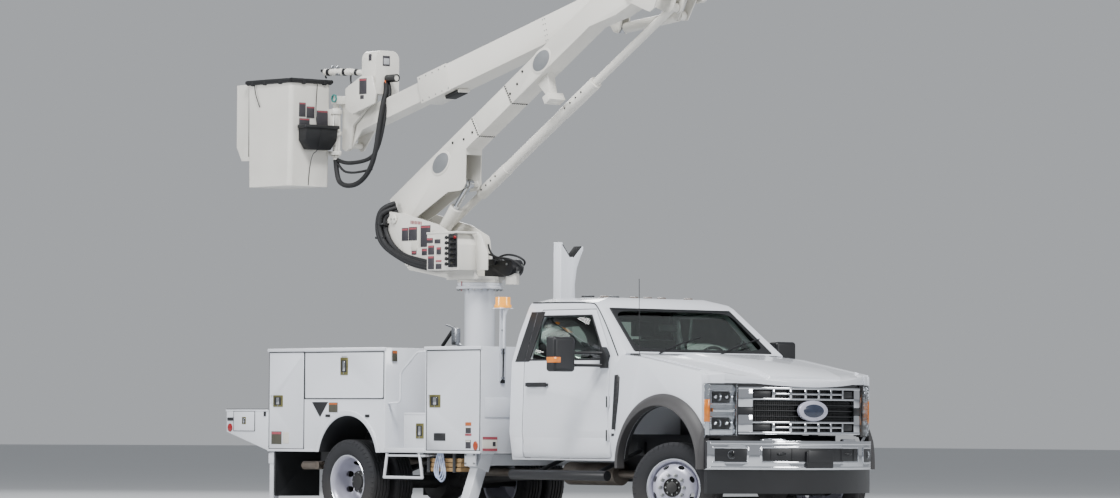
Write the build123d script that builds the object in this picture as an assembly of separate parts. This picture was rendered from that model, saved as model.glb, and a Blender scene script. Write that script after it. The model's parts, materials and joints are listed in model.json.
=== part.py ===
from build123d import *
from math import atan2, cos, degrees, hypot, radians, sin, tan
import os

# An aerial bucket truck in millimetres: +X forward, +Y to its left, +Z up from the road.
# Places are measured from the front axle, and the whole truck is moved at the end so that
# its origin lies under the middle of its bounding box.

# Chassis sizes
WHEELBASE = 4293
TYRE_RADIUS = 398
TYRE_WIDTH = 226
RIM_RADIUS = 248
RIM_FLANGE = 12
RIM_WIDTH = 180
RIM_WALL = 12
FRONT_TYRE_Y = 950
REAR_OUTER_TYRE_Y = 1081
REAR_INNER_TYRE_Y = 799
DISC_WALL = 14
HUB_BORE = 85
HAND_HOLE = 21
HAND_HOLE_RING = 190
HAND_HOLES = 8
KINGPIN_Y = 800
KINGPIN_RADIUS = 34
KINGPIN_BOSS = 60
SPINDLE_RADIUS = 45
FIT = 1.0
STEER_REST = 26
TIE_ARM_BACK = 185
TIE_ARM_IN = 60
TIE_ROD_RADIUS = 19
RAIL_DEPTH = 190
RAIL_FLANGE = 76
RAIL_WALL = 9
RAIL_OUTER_Y = 432
RAIL_TOP = 862
RAIL_FRONT = 640
RAIL_REAR = -WHEELBASE - 1667
AXLE_Z = TYRE_RADIUS
GEARBOX_REAR = -1520

# Cab sizes
CAB_HALF = 1008
CAB_REAR = -2143
CAB_WALL = 60
CAB_FLOOR = 625
CAB_DECK = 910
SILL_INNER = 900
BELT_Z = 1505
BELT_HALF = 985
ROOF_HALF = 800
ROOF_SIDE_Z = 2050
ROOF_Z = 2098
FIREWALL = -700
SCREEN_BASE_X = -605
SCREEN_BASE_Z = 1585
SCREEN_TOP_X = -1110
SCREEN_TOP_Z = 2015
DOOR_REAR = -1968
DOOR_FRONT = -790
DOOR_BOTTOM = 640
DOOR_TOP = 1990
DOOR_GAP = 6
GLASS = 6
SCREEN_SET_BACK = 29
ARCH_X = -60
ARCH_Z = 600
ARCH_RADIUS = 512
FLARE_HALF = 1085
FLARE_WIDTH = 62

# Front of the truck
NOSE_X = 800
NOSE_SIDE_X = 500
NOSE_HALF = 975
GRILLE_HALF = 735
GRILLE_LOW = 868
GRILLE_HIGH = 1285
BUMPER_X = 880
BUMPER_SIDE_X = 514
BUMPER_HALF = 1000
BUMPER_LOW = 560
BUMPER_HIGH = 812

# Service body sizes
BODY_HALF = 1194
CABINET_INNER = 686
CABINET_WALL = 25
REAR_ARCH_X = 18 - WHEELBASE
BODY_REAR = REAR_ARCH_X - 1225
BODY_FRONT = -2330
BODY_LOW = 677
BODY_HIGH = 1656
LEDGE_HIGH = 719
RECESS_REAR = REAR_ARCH_X + 553
RECESS_FRONT = -3130
DOOR_THICK = 36
DOOR_SEAM = REAR_ARCH_X - 682
LOCKER_GAP = 6
REAR_ARCH_Z = 576
REAR_ARCH_RADIUS = 444
ARCH_LIP = 32
BED_TOP = 905
BED_BOTTOM = 870
SHELF_REAR = BODY_REAR - 668
SHELF_LOW = 861
SHELF_HIGH = 1072
STEP_Z = 447

# Outrigger sizes: the leg slides along its own slope
OUTRIGGER_X = -2560
OUTRIGGER_TILT = 21
OUTRIGGER_Y = 1000
OUTRIGGER_Z = 600
LEG_HALF = 55
LEG_LOW = 180
LEG_HIGH = 900
SLEEVE_LOW = 530
SLEEVE_HIGH = 930
SLEEVE_WALL = 14
PAD_THICK = 20

# Boom rest
REST_X = -2500
REST_SEAT = 2597

# Aerial device sizes. Pivots are points in X and Z; a boom's own points are a distance along
# it from its pivot and a rise above its pivot line.
MAST_X = -3780
MAST_RADIUS = 148
FLANGE_RADIUS = 214
FLANGE_LOW = 2237
TURNTABLE_Z = 2290
DECK_LOW = 2318
DECK_HIGH = 2347
NEAR_PLATE = (-216, -200)
FAR_PLATE = (214, 230)
LOWER_PIVOT = (-4812, 2919)
LOWER_LENGTH = 3859
LOWER_ANGLE = 31
LOWER_HALF = 102
LOWER_LOW = 76
LOWER_HIGH = 281
LOWER_WALL = 12
INSERT_START = 1375
INSERT_END = 1890
INSERT_WALL = 14
PIVOT_PIN = 36
LINK_SHIFT = (252, -131)
LINK_Y = 168
LINK_RADIUS = 42
LINK_COLLAR = 60
LINK_EYE = 45
LINK_PIN = 24
LIFT_BASE = (-4600, 2500)
LIFT_EYE = (906, -174)
LIFT_PIN = 28
LIFT_BARREL = 62
LIFT_ROD = 32
LIFT_BARREL_END = 690
LIFT_ROD_LENGTH = 680
UPPER_Y = 365
UPPER_ANGLE = 14.6
UPPER_WIDTH = 246
UPPER_DEPTH = 256
UPPER_RISE = 235
UPPER_START = -120
UPPER_END = 3833
UPPER_WALL = 24
UPPER_SEAM = 1900
COLLAR_START = 3385
COLLAR = 7
PLATE = 16
TIP_WIDTH = 180
TIP_DEPTH = 190
TIP_TAIL = 560
TIP_END = 5110
TIP_PIVOT = (5067, 48)
TIP_PIN = 30
ELBOW_SHIFT = (270, 25)
ELBOW_TUBE = 72
ELBOW_PLATES = ((-124, -108), (108, 124), (214, 230))
UPPER_CYLINDER_FOOT = (-125, -216)
UPPER_CYLINDER_EYE = (1000, -40)
UPPER_PIN = 26
UPPER_BARREL = 50
UPPER_ROD = 27
UPPER_BARREL_END = 760
UPPER_ROD_LENGTH = 745
BUCKET_REACH = (-870.5, -115.5)
BUCKET_Y = (-365, 175)
BUCKET_DROP = -410.2
BUCKET_RISE = 644.8
BUCKET_FOOT = (680, 505)
BUCKET_WALL = 9
POST_REACH = -85.5
POST_Y = 180
POST_RADIUS = 30
SLEEVE_RADIUS = 45
HEAD_ARM = (236, 268)
HEAD_RISE = 409.8
HOUSING_RISE = 85
HOUSING_TALL = 425


def block(x0, x1, y0, y1, z0, z1):
    """Box between two corners."""
    centre = Pos((x0 + x1) / 2, (y0 + y1) / 2, (z0 + z1) / 2)
    return centre * Box(abs(x1 - x0), abs(y1 - y0), abs(z1 - z0))


def bar(start, end, radius):
    """Round bar between two points."""
    axis = Vector(*end) - Vector(*start)
    plane = Plane(origin=start, z_dir=axis.normalized())
    return extrude(plane * Circle(radius), amount=axis.length)


def tube(start, end, radius, bore):
    """Round tube between two points."""
    return bar(start, end, radius) - bar(start, end, bore)


def side_prism(points, y_low, y_high, radius=0):
    """Outline in X and Z, thick along Y."""
    face = make_face(Polyline(*points, close=True))
    if radius:
        face = fillet(face.vertices(), radius)
    plane = Plane(origin=(0, y_high, 0), x_dir=(1, 0, 0), z_dir=(0, -1, 0))
    return extrude(plane * face, amount=y_high - y_low, dir=(0, -1, 0))


def cross_prism(points, x_low, x_high, radius=0):
    """Outline in Y and Z, long along X."""
    face = make_face(Polyline(*points, close=True))
    if radius:
        face = fillet(face.vertices(), radius)
    plane = Plane(origin=(x_low, 0, 0), x_dir=(0, 1, 0), z_dir=(1, 0, 0))
    return extrude(plane * face, amount=x_high - x_low, dir=(1, 0, 0))


def disc_y(x, z, y_low, y_high, radius):
    """Round bar along Y."""
    return bar((x, y_low, z), (x, y_high, z), radius)


def turned_y(points, x, y, z, outward):
    """Ring turned about a Y axis from (radius, outward offset) points."""
    face = make_face(Polyline(*[(r, outward * off) for r, off in points], close=True))
    return Pos(x, y, z) * revolve(face, Axis.Y)


def left_of(shape):
    """Mirror image on the other side of the truck."""
    return mirror(shape, about=Plane.XZ)


def pair(shape):
    """A right-hand piece with its left-hand twin, as separate solids."""
    return Compound(children=[*shape.solids(), *left_of(shape).solids()])


def group(*shapes):
    """Solids that share one node."""
    return Compound(children=[solid for shape in shapes for solid in shape.solids()])


def about_z(shape, x, y, angle):
    return Pos(x, y, 0) * Rot(0, 0, angle) * Pos(-x, -y, 0) * shape


def along(pivot, angle, distance, rise=0):
    """Point in X and Z at a distance up the lower boom and a rise above its pivot line."""
    a = radians(angle)
    return (pivot[0] + distance * cos(a) - rise * sin(a), pivot[1] + distance * sin(a) + rise * cos(a))


ELBOW = along(LOWER_PIVOT, LOWER_ANGLE, LOWER_LENGTH)
LINK_FOOT = (LOWER_PIVOT[0] + LINK_SHIFT[0], LOWER_PIVOT[1] + LINK_SHIFT[1])
LINK_HEAD = (ELBOW[0] + LINK_SHIFT[0], ELBOW[1] + LINK_SHIFT[1])
LIFT_HEAD = along(LOWER_PIVOT, LOWER_ANGLE, *LIFT_EYE)
UPPER_PIVOT = (ELBOW[0] + ELBOW_SHIFT[0], ELBOW[1] + ELBOW_SHIFT[1])


def outward(distance, rise=0):
    """Point in X and Z at a distance out along the upper boom and a rise above its pivot line."""
    a = radians(UPPER_ANGLE)
    return (UPPER_PIVOT[0] - distance * cos(a) - rise * sin(a),
            UPPER_PIVOT[1] - distance * sin(a) + rise * cos(a))


UPPER_FOOT = (UPPER_PIVOT[0] + UPPER_CYLINDER_FOOT[0], UPPER_PIVOT[1] + UPPER_CYLINDER_FOOT[1])
UPPER_EYE = outward(*UPPER_CYLINDER_EYE)
PLATFORM_PIVOT = outward(*TIP_PIVOT)
BUCKET_X = (PLATFORM_PIVOT[0] + BUCKET_REACH[0], PLATFORM_PIVOT[0] + BUCKET_REACH[1])
BUCKET_LOW = PLATFORM_PIVOT[1] + BUCKET_DROP
BUCKET_HIGH = PLATFORM_PIVOT[1] + BUCKET_RISE
POST_X = PLATFORM_PIVOT[0] + POST_REACH
HEAD_HIGH = PLATFORM_PIVOT[1] + HEAD_RISE
HOUSING_LOW = HEAD_HIGH + HOUSING_RISE
HOUSING_HIGH = HOUSING_LOW + HOUSING_TALL


def on_lower(shape):
    """Piece drawn along +X from the lower boom's pivot, turned up to the boom's angle."""
    return Pos(LOWER_PIVOT[0], 0, LOWER_PIVOT[1]) * Rot(0, -LOWER_ANGLE, 0) * shape


def on_upper(shape):
    """Piece drawn along -X from the upper boom's pivot, turned down to the boom's angle."""
    return Pos(UPPER_PIVOT[0], UPPER_Y, UPPER_PIVOT[1]) * Rot(0, -UPPER_ANGLE, 0) * shape


def on_line(start, end, shape):
    """Piece drawn along +X from the origin, laid from one point towards another."""
    tilt = degrees(atan2(end[1] - start[1], end[0] - start[0]))
    return Pos(start[0], 0, start[1]) * Rot(0, -tilt, 0) * shape


# Wheels, axles and steering
def tyre_ring(x, y, outward):
    crown = TYRE_RADIUS
    half = TYRE_WIDTH / 2
    points = [(RIM_RADIUS, -half + 18), (RIM_RADIUS + 50, -half), (crown - 40, -half),
              (crown - 8, -half + 20), (crown, -half + 40), (crown, half - 40),
              (crown - 8, half - 20), (crown - 40, half), (RIM_RADIUS + 50, half),
              (RIM_RADIUS, half - 18)]
    return turned_y(points, x, y, AXLE_Z, outward)


def rim_ring(x, y, outward):
    low = RIM_RADIUS - RIM_WALL
    edge = RIM_WIDTH / 2
    lip = edge + 8
    points = [(low, -lip), (RIM_RADIUS + RIM_FLANGE, -lip), (RIM_RADIUS + RIM_FLANGE, -edge),
              (RIM_RADIUS, -edge), (RIM_RADIUS, edge), (RIM_RADIUS + RIM_FLANGE, edge),
              (RIM_RADIUS + RIM_FLANGE, lip), (low, lip)]
    return turned_y(points, x, y, AXLE_Z, outward)


def wheel_disc(x, y, outward, face, seat):
    """Dished disc whose flat hub face is at one offset and whose rim seat is at another."""
    low = RIM_RADIUS - RIM_WALL
    points = [(HUB_BORE, face - DISC_WALL), (HUB_BORE, face), (152, face), (low - 10, seat + 12),
              (low, seat), (low, seat - 20), (low - 24, seat - 8), (150, face - DISC_WALL)]
    disc = turned_y(points, x, y, AXLE_Z, outward)
    y_cut = sorted((y + outward * (min(face, seat) - 60), y + outward * (max(face, seat) + 60)))
    for step in range(HAND_HOLES):
        a = radians(360 / HAND_HOLES * (step + 0.5))
        hole_x = x + HAND_HOLE_RING * cos(a)
        hole_z = AXLE_Z + HAND_HOLE_RING * sin(a)
        disc -= disc_y(hole_x, hole_z, y_cut[0], y_cut[1], HAND_HOLE)
    return disc


def front_wheel(side):
    y = side * FRONT_TYRE_Y
    bore = SPINDLE_RADIUS + FIT
    hub_points = [(bore, -56), (90, -56), (90, 122), (62, 150), (0, 150), (0, 112), (bore, 112)]
    wheel = tyre_ring(0, y, side) + rim_ring(0, y, side)
    wheel += wheel_disc(0, y, side, 135, 62)
    wheel += turned_y(hub_points, 0, y, AXLE_Z, side)
    return about_z(wheel, 0, side * KINGPIN_Y, STEER_REST)


def rear_wheels(side):
    middle = (REAR_OUTER_TYRE_Y + REAR_INNER_TYRE_Y) / 2
    half_gap = (REAR_OUTER_TYRE_Y - REAR_INNER_TYRE_Y) / 2
    bore = SPINDLE_RADIUS + 5 + FIT
    wheels = None
    for offset, facing in ((half_gap, -1), (-half_gap, 1)):
        y = side * (middle + offset)
        piece = tyre_ring(-WHEELBASE, y, side * facing) + rim_ring(-WHEELBASE, y, side * facing)
        piece += wheel_disc(-WHEELBASE, y, side * facing, half_gap, 62)
        wheels = piece if wheels is None else wheels + piece
    hub_points = [(bore, -235), (165, -235), (165, -20), (HUB_BORE + 6, -16), (HUB_BORE + 6, 40),
                  (66, 60), (66, 92), (0, 92), (0, -10), (bore, -10)]
    return wheels + turned_y(hub_points, -WHEELBASE, side * middle, AXLE_Z, side)


def knuckle(side):
    pin = bar((0, side * KINGPIN_Y, AXLE_Z - 78), (0, side * KINGPIN_Y, AXLE_Z + 78), KINGPIN_RADIUS)
    web_in = KINGPIN_Y + KINGPIN_BOSS + 4
    web_out = web_in + 22
    shape = pin
    for low in (AXLE_Z - 78, AXLE_Z + 56):
        shape += bar((0, side * KINGPIN_Y, low), (0, side * KINGPIN_Y, low + 22), KINGPIN_BOSS)
        shape += block(-45, 45, side * KINGPIN_Y, side * web_out, low, low + 22)
    shape += block(-55, 55, side * web_in, side * web_out, AXLE_Z - 78, AXLE_Z + 78)
    shape += disc_y(0, AXLE_Z, side * web_out, side * (FRONT_TYRE_Y + 105), SPINDLE_RADIUS)
    arm_y = side * (KINGPIN_Y - TIE_ARM_IN)
    arm = side_prism([(-TIE_ARM_BACK - 30, AXLE_Z - 78), (20, AXLE_Z - 78), (20, AXLE_Z - 56),
                      (-TIE_ARM_BACK - 30, AXLE_Z - 56)], min(arm_y, arm_y + side * 50) - 10,
                     max(arm_y, arm_y + side * 50) + 10)
    shape += arm
    return about_z(shape, 0, side * KINGPIN_Y, STEER_REST)


def steer_arm_end(side):
    """Tie-rod joint on a steered knuckle."""
    a = radians(STEER_REST)
    back = -TIE_ARM_BACK
    inward = -side * TIE_ARM_IN
    return (back * cos(a) - inward * sin(a), side * KINGPIN_Y + back * sin(a) + inward * cos(a))


def tie_rod():
    right = steer_arm_end(-1)
    left = steer_arm_end(1)
    z = AXLE_Z - 78 - 27
    shape = bar((right[0], right[1], z), (left[0], left[1], z), TIE_ROD_RADIUS)
    for x, y in (right, left):
        shape += bar((x, y, z - 24), (x, y, z + 26.7), 24)
    return shape


def front_axle():
    low = AXLE_Z - 48
    high = AXLE_Z + 48
    shape = block(-30, 30, -KINGPIN_Y, KINGPIN_Y, low + 8, high - 8)
    for side in (-1, 1):
        place = (0, side * KINGPIN_Y)
        shape += bar((*place, low), (*place, high), KINGPIN_BOSS)
        shape -= bar((*place, low - 5), (*place, high + 5), KINGPIN_RADIUS + FIT)
    for side in (-1, 1):
        spring_y = side * 500
        shape += bar((0, spring_y, high - 10), (0, spring_y, high + 8), 82)
        shape += bar((0, spring_y, high), (0, spring_y, RAIL_TOP - 40), 56)
        shape += block(-62, 62, side * (RAIL_OUTER_Y + 0.3), side * 562, RAIL_TOP - 60, RAIL_TOP - 30)
    shape += disc_y(20, AXLE_Z, 170, 330, 130)
    return shape


def rear_axle():
    end = (REAR_OUTER_TYRE_Y + REAR_INNER_TYRE_Y) / 2 - 20
    shape = disc_y(-WHEELBASE, AXLE_Z, -end, end, SPINDLE_RADIUS + 5)
    shape += disc_y(-WHEELBASE, AXLE_Z, -670, 670, 62)
    shape += disc_y(-WHEELBASE, AXLE_Z, -110, 110, 175)
    shape += bar((-WHEELBASE, 0, AXLE_Z), (-WHEELBASE + 330, 0, AXLE_Z + 20), 85)
    shape += bar((-WHEELBASE + 300, 0, AXLE_Z + 20), (GEARBOX_REAR - 10, 0, 560), 46)
    for side in (-1, 1):
        y = side * 545
        leaf = side_prism([(-WHEELBASE - 680, 640), (-WHEELBASE, AXLE_Z + 60),
                           (-WHEELBASE + 680, 640), (-WHEELBASE + 680, 660),
                           (-WHEELBASE + 420, 590), (-WHEELBASE, AXLE_Z + 130),
                           (-WHEELBASE - 420, 590), (-WHEELBASE - 680, 660)], y - 38, y + 38)
        shape += leaf
        for end_x in (-WHEELBASE - 680, -WHEELBASE + 680):
            shape += block(end_x - 30, end_x + 30, side * (RAIL_OUTER_Y + 0.3), side * 583, 630, 760)
    return shape


def frame_rails():
    section = [(RAIL_OUTER_Y, RAIL_TOP), (RAIL_OUTER_Y - RAIL_FLANGE, RAIL_TOP),
               (RAIL_OUTER_Y - RAIL_FLANGE, RAIL_TOP - RAIL_WALL),
               (RAIL_OUTER_Y - RAIL_WALL, RAIL_TOP - RAIL_WALL),
               (RAIL_OUTER_Y - RAIL_WALL, RAIL_TOP - RAIL_DEPTH + RAIL_WALL),
               (RAIL_OUTER_Y - RAIL_FLANGE, RAIL_TOP - RAIL_DEPTH + RAIL_WALL),
               (RAIL_OUTER_Y - RAIL_FLANGE, RAIL_TOP - RAIL_DEPTH),
               (RAIL_OUTER_Y, RAIL_TOP - RAIL_DEPTH)]
    rail = cross_prism(section, RAIL_REAR, RAIL_FRONT)
    shape = rail + left_of(rail)
    inner = RAIL_OUTER_Y - RAIL_WALL
    for x in (560, -1700, -2600, -3300, -WHEELBASE - 757, RAIL_REAR + 100):
        shape += block(x - 40, x + 40, -inner, inner, RAIL_TOP - 150, RAIL_TOP - 40)
    hitch = block(RAIL_REAR - 12, RAIL_REAR, -260, 260, 560, RAIL_TOP)
    for y in (-55, 55):
        for z in (590, 650):
            hitch -= bar((RAIL_REAR - 20, y, z), (RAIL_REAR + 10, y, z), 9)
    shape += hitch
    shape += block(RAIL_REAR - 1, RAIL_REAR + 60, -inner, inner, RAIL_TOP - 150, RAIL_TOP - 40)
    rear, front = RAIL_REAR + 180, RAIL_REAR + 850
    tank = side_prism([(rear, 520), (front, 520), (front, RAIL_TOP - 100), (rear, RAIL_TOP - 100)],
                      -330, 330, 40)
    for x in (rear + 100, front - 100):
        tank += block(x - 20, x + 20, -inner, inner, 705, 755)
    return shape + tank


def engine_block():
    mount = RAIL_OUTER_Y - RAIL_WALL - 0.3
    shape = block(-620, 370, -290, 290, 560, 1180) + block(GEARBOX_REAR, -600, -190, 190, 430, 700)
    return shape + block(-240, -160, -mount, mount, 700, 760)


EXHAUST = ((-900, -300, 500), (-3450, -300, 500), (-3800, -230, 590), (-WHEELBASE - 467, -230, 590),
           (-WHEELBASE - 567, -500, 548), (-WHEELBASE - 587, -1090, 548))
PIPE_RADIUS = 38
MUFFLER_RADIUS = 105


def exhaust():
    shape = bar((-1400, -300, 500), (-2100, -300, 500), MUFFLER_RADIUS)
    for start, end in zip(EXHAUST, EXHAUST[1:]):
        shape += bar(start, end, PIPE_RADIUS)
    for corner in EXHAUST[1:-1]:
        shape += Pos(*corner) * Sphere(PIPE_RADIUS)
    return shape + block(-3310, -3290, -310, -290, 530, RAIL_TOP - 150.3)


# Cab
def cab_outline(inset):
    half = CAB_HALF - inset
    belt = BELT_HALF - inset
    roof = ROOF_HALF - inset
    return [(-half + 40, CAB_FLOOR + inset), (-half, CAB_FLOOR + 250), (-belt, BELT_Z),
            (-roof, ROOF_SIDE_Z - inset), (-roof + 220, ROOF_Z - inset),
            (roof - 220, ROOF_Z - inset), (roof, ROOF_SIDE_Z - inset), (belt, BELT_Z),
            (half, CAB_FLOOR + 250), (half - 40, CAB_FLOOR + inset)]


def side_band(outer, inner):
    """Section of the cab's right side between two depths in from its surface."""
    section = cab_outline(0)[:4]
    return ([(y + outer, z) for y, z in section] + [(y + inner, z) for y, z in reversed(section)])


def cab_side(inset):
    return [(CAB_REAR + inset, CAB_FLOOR + inset), (FIREWALL - inset, CAB_FLOOR + inset),
            (FIREWALL - inset, 1450), (SCREEN_BASE_X - inset * 1.3, SCREEN_BASE_Z),
            (SCREEN_TOP_X - inset * 1.2, SCREEN_TOP_Z), (-1380, ROOF_Z + 60 - inset),
            (-2010, ROOF_Z + 60 - inset), (CAB_REAR + 40 + inset, ROOF_SIDE_Z - 30 - inset),
            (CAB_REAR + inset, BELT_Z + 260)]


def cab_volume(inset):
    body = cross_prism(cab_outline(inset), CAB_REAR - 50, -400)
    return body & side_prism(cab_side(inset), -1200, 1200)


def door_outline(gap):
    return [(DOOR_REAR + gap, DOOR_BOTTOM + gap), (DOOR_FRONT - gap, DOOR_BOTTOM + gap),
            (DOOR_FRONT - gap, 1560), (-1160 - gap, DOOR_TOP - gap),
            (DOOR_REAR + 70 + gap, DOOR_TOP - gap), (DOOR_REAR + gap, 1830)]


SIDE_WINDOW = [(DOOR_REAR + 65, BELT_Z + 28), (DOOR_FRONT - 75, BELT_Z + 28),
               (-1200, DOOR_TOP - 62), (DOOR_REAR + 105, DOOR_TOP - 62),
               (DOOR_REAR + 65, 1800)]


def screen_direction():
    return atan2(SCREEN_TOP_Z - SCREEN_BASE_Z, SCREEN_TOP_X - SCREEN_BASE_X)


def screen_plane():
    middle = ((SCREEN_BASE_X + SCREEN_TOP_X) / 2, 0, (SCREEN_BASE_Z + SCREEN_TOP_Z) / 2)
    a = screen_direction()
    return Plane(origin=middle, x_dir=(0, 1, 0), z_dir=(sin(a), 0, -cos(a)))


def screen_face(inset):
    length = hypot(SCREEN_TOP_X - SCREEN_BASE_X, SCREEN_TOP_Z - SCREEN_BASE_Z) / 2 - inset
    low = BELT_HALF - 120 - inset
    high = ROOF_HALF - 40 - inset
    plane = screen_plane()
    up = plane.y_dir.Z > 0
    bottom = -length if up else length
    points = [(-low, bottom), (low, bottom), (high, -bottom), (-high, -bottom)]
    return fillet(make_face(Polyline(*points, close=True)).vertices(), 40)


DOOR_HINGES = ((800, 900), (1100, 1200))
HINGE_RADIUS = 16


def cab_shell():
    inside = cab_volume(CAB_WALL) & block(-3000, 0, -1200, 1200, CAB_DECK, 2500)
    shell = cab_volume(0) - inside
    shell -= block(-3000, 0, -SILL_INNER, SILL_INNER, 500, RAIL_TOP + 0.3)
    opening = side_prism(door_outline(0), -1300, -500)
    opening &= cross_prism([(-1300, 500), (-SILL_INNER, 500), (5 - SILL_INNER, BELT_Z + 15), (-700, 2100),
                            (-1300, 2100)], CAB_REAR, -400)
    shell -= opening
    shell -= left_of(opening)
    for z_low, z_high in DOOR_HINGES:
        notch = bar((DOOR_FRONT, -1010, z_low - 1), (DOOR_FRONT, -1010, z_high + 1), HINGE_RADIUS + FIT)
        shell -= notch
        shell -= left_of(notch)
    shell -= extrude(screen_plane() * screen_face(35), amount=160, both=True)
    shell -= block(CAB_REAR - 20, CAB_REAR + 100, -560, 560, 1560, 1900)
    return shell


def cab_glass():
    screen = extrude(screen_plane() * screen_face(35.3), amount=GLASS, both=True)
    a = screen_direction()
    screen = Pos(-SCREEN_SET_BACK * sin(a), 0, SCREEN_SET_BACK * cos(a)) * screen
    rear = block(CAB_REAR + 22, CAB_REAR + 28, -559.7, 559.7, 1560.3, 1899.7)
    return group(screen, rear)


def cab_door(side):
    gap = DOOR_GAP
    panel = cross_prism(side_band(0, CAB_WALL), CAB_REAR, -400)
    door = panel & side_prism(door_outline(gap), -1300, -500)
    door -= side_prism(SIDE_WINDOW, -1300, -500, 25)
    mount = [(-830, 1450), (-805, 1450), (-805, 1560), (-870, 1640), (-900, 1640), (-900, 1450)]
    door += side_prism(mount, -1010, -956)
    for z in (1585, 1475):
        door += bar((-860, -975, z), (-1036, -1260, z), 14)
    head = block(-1100, -970, -1481, -1231, 1415, 1725)
    door += fillet(head.edges(), 30)
    door += block(-1905, -1790, -1027, -985, 1290, 1322)
    for z_low, z_high in DOOR_HINGES:
        door += bar((DOOR_FRONT, -1010, z_low), (DOOR_FRONT, -1010, z_high), HINGE_RADIUS)
    return door if side < 0 else left_of(door)


def door_glass(side):
    panel = cross_prism(side_band(26, 26 + GLASS), CAB_REAR, -400)
    pane = panel & side_prism(SIDE_WINDOW, -1300, -500, 25)
    return pane if side < 0 else left_of(pane)


def seats():
    shapes = []
    for y, wide in ((-480, 500), (0, 380), (480, 500)):
        cushion = block(-1880, -1330, y - wide / 2, y + wide / 2, CAB_DECK + 0.3, 1200)
        back = side_prism([(-2000, 1150), (-1840, 1150), (-1940, 1730), (-2050, 1730)],
                          y - wide / 2, y + wide / 2)
        rest = block(-2050, -1965, y - 130, y + 130, 1725, 1900)
        shapes.append(cushion + back + rest)
    return group(*shapes)


def dashboard():
    inner = BELT_HALF - CAB_WALL - 45
    shape = side_prism([(-770, 1050), (-760.3, 1440), (-860, 1520), (-1020, 1460), (-1080, 1330),
                        (-1000, 1180), (-1000, 1050)], -inner, inner)
    hub = (-1180, 480, 1370)
    wheel_plane = Plane(origin=hub, z_dir=(-0.85, 0, 0.52))
    ring = Solid.make_torus(185, 15, wheel_plane)
    shape += bar((-1000, 480, 1250), hub, 28)
    shape += ring
    shape += extrude(wheel_plane * Rectangle(370, 30), amount=8, both=True)
    return shape


def nose_curve(front, side_x, half):
    return ThreePointArc((side_x, -half), (front, 0), (side_x, half))


def nose_band(front, side_x, half, depth, z_low, z_high):
    """Curved band across the front, bounded behind by the same curve moved back."""
    outer = nose_curve(front, side_x, half)
    inner = nose_curve(front - depth, side_x - depth, half)
    right = Line((side_x - depth, -half), (side_x, -half))
    left = Line((side_x, half), (side_x - depth, half))
    face = make_face([outer, left, inner, right])
    return extrude(Pos(0, 0, z_low) * face, amount=z_high - z_low, dir=(0, 0, 1))


HOOD_HINGE = (-525, 1540)


def hood():
    half = 850
    side = [(-545, 1575), (-371, 1556), (560, 1400), (900, 1297), (900, 1255), (540, 1355),
            (-371, 1515), (-535, 1533)]
    panel = side_prism(side, -half, half)
    plan = nose_band(NOSE_X - 12, NOSE_SIDE_X - 12, NOSE_HALF, 2600, 1200, 1700)
    panel = panel & plan
    bulge = side_prism([(-500, 1570), (-300, 1585), (500, 1450), (700, 1380), (700, 1340), (500, 1410),
                        (-371, 1540)], -430, 430)
    panel += bulge & plan
    hinge = disc_y(HOOD_HINGE[0], HOOD_HINGE[1], -860, -790, 9.3)
    return panel - hinge - left_of(hinge)


SUPPORT_FRONT = 420


def fenders():
    arch = disc_y(ARCH_X, ARCH_Z, -1300, -600, ARCH_RADIUS)
    arch += block(ARCH_X - ARCH_RADIUS, ARCH_X + ARCH_RADIUS, -1300, -600, 300, ARCH_Z)
    outline = [(-699.7, 640), (-699.7, 1450), (-615, 1567), (-590, 1568), (-371, 1548),
               (470, 1404), (470, 885), (300, 640)]
    skin = side_prism(outline, -1000, -960)
    top = side_prism([(-645, 1520), (-615, 1562), (-590, 1568), (-371, 1548), (470, 1404),
                      (470, 1364), (-371, 1508), (-590, 1528)], -970, -856)
    inner = side_prism([(-590, 1150), (-590, 1520), (-371, 1510), (470, 1366), (470, 1335),
                        (SUPPORT_FRONT, 1335), (SUPPORT_FRONT, 1150)], -896, -856)
    right = skin + top + inner - arch
    right += disc_y(HOOD_HINGE[0], HOOD_HINGE[1], -857, -800, 9)
    cowl = side_prism([(-690, 1460), (-610, 1560), (-590, 1560), (-590, 1460)], -960, 960)
    shape = right + left_of(right) + cowl
    support = block(380, SUPPORT_FRONT, -900, 900, 1120, 1330)
    legs = [block(380, 420, y - 40, y + 40, RAIL_TOP + 0.3, 1330) for y in (-390, 390)]
    shape += support
    for leg in legs:
        shape += leg
    return shape


def headlights():
    band = nose_band(NOSE_X - 2, NOSE_SIDE_X, NOSE_HALF, 110, GRILLE_LOW - 15, GRILLE_HIGH + 25)
    right = band & block(300, 900, -959.7, -GRILLE_HALF - 6, 700, 1500)
    right += block(SUPPORT_FRONT + 0.3, 520, -850, -800, 1150, 1250)
    return pair(right)


def grille():
    band = nose_band(NOSE_X, NOSE_SIDE_X + 2, NOSE_HALF, 110, GRILLE_LOW, GRILLE_HIGH)
    shape = band & block(300, 900, -GRILLE_HALF, GRILLE_HALF, 700, 1500)
    deep = nose_band(NOSE_X + 40, NOSE_SIDE_X + 42, NOSE_HALF, 100, GRILLE_LOW, GRILLE_HIGH)
    rows = ((GRILLE_LOW + 30, GRILLE_LOW + 120), (GRILLE_HIGH - 120, GRILLE_HIGH - 30))
    for low, high in rows:
        for column in range(5):
            y = (column - 2) * 200
            shape -= deep & block(300, 900, y - 82, y + 82, low, high)
    middle_low = GRILLE_LOW + 150
    middle_high = GRILLE_HIGH - 150
    for low, high in ((middle_low, middle_low + 48), (middle_high - 48, middle_high)):
        for y0, y1 in ((-560, -150), (150, 560)):
            shape -= deep & block(300, 900, y0, y1, low, high)
    for y in (-300, 300):
        shape += block(SUPPORT_FRONT + 0.3, 700, y - 20, y + 20, middle_high + 2, middle_high + 28)
    return shape


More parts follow.
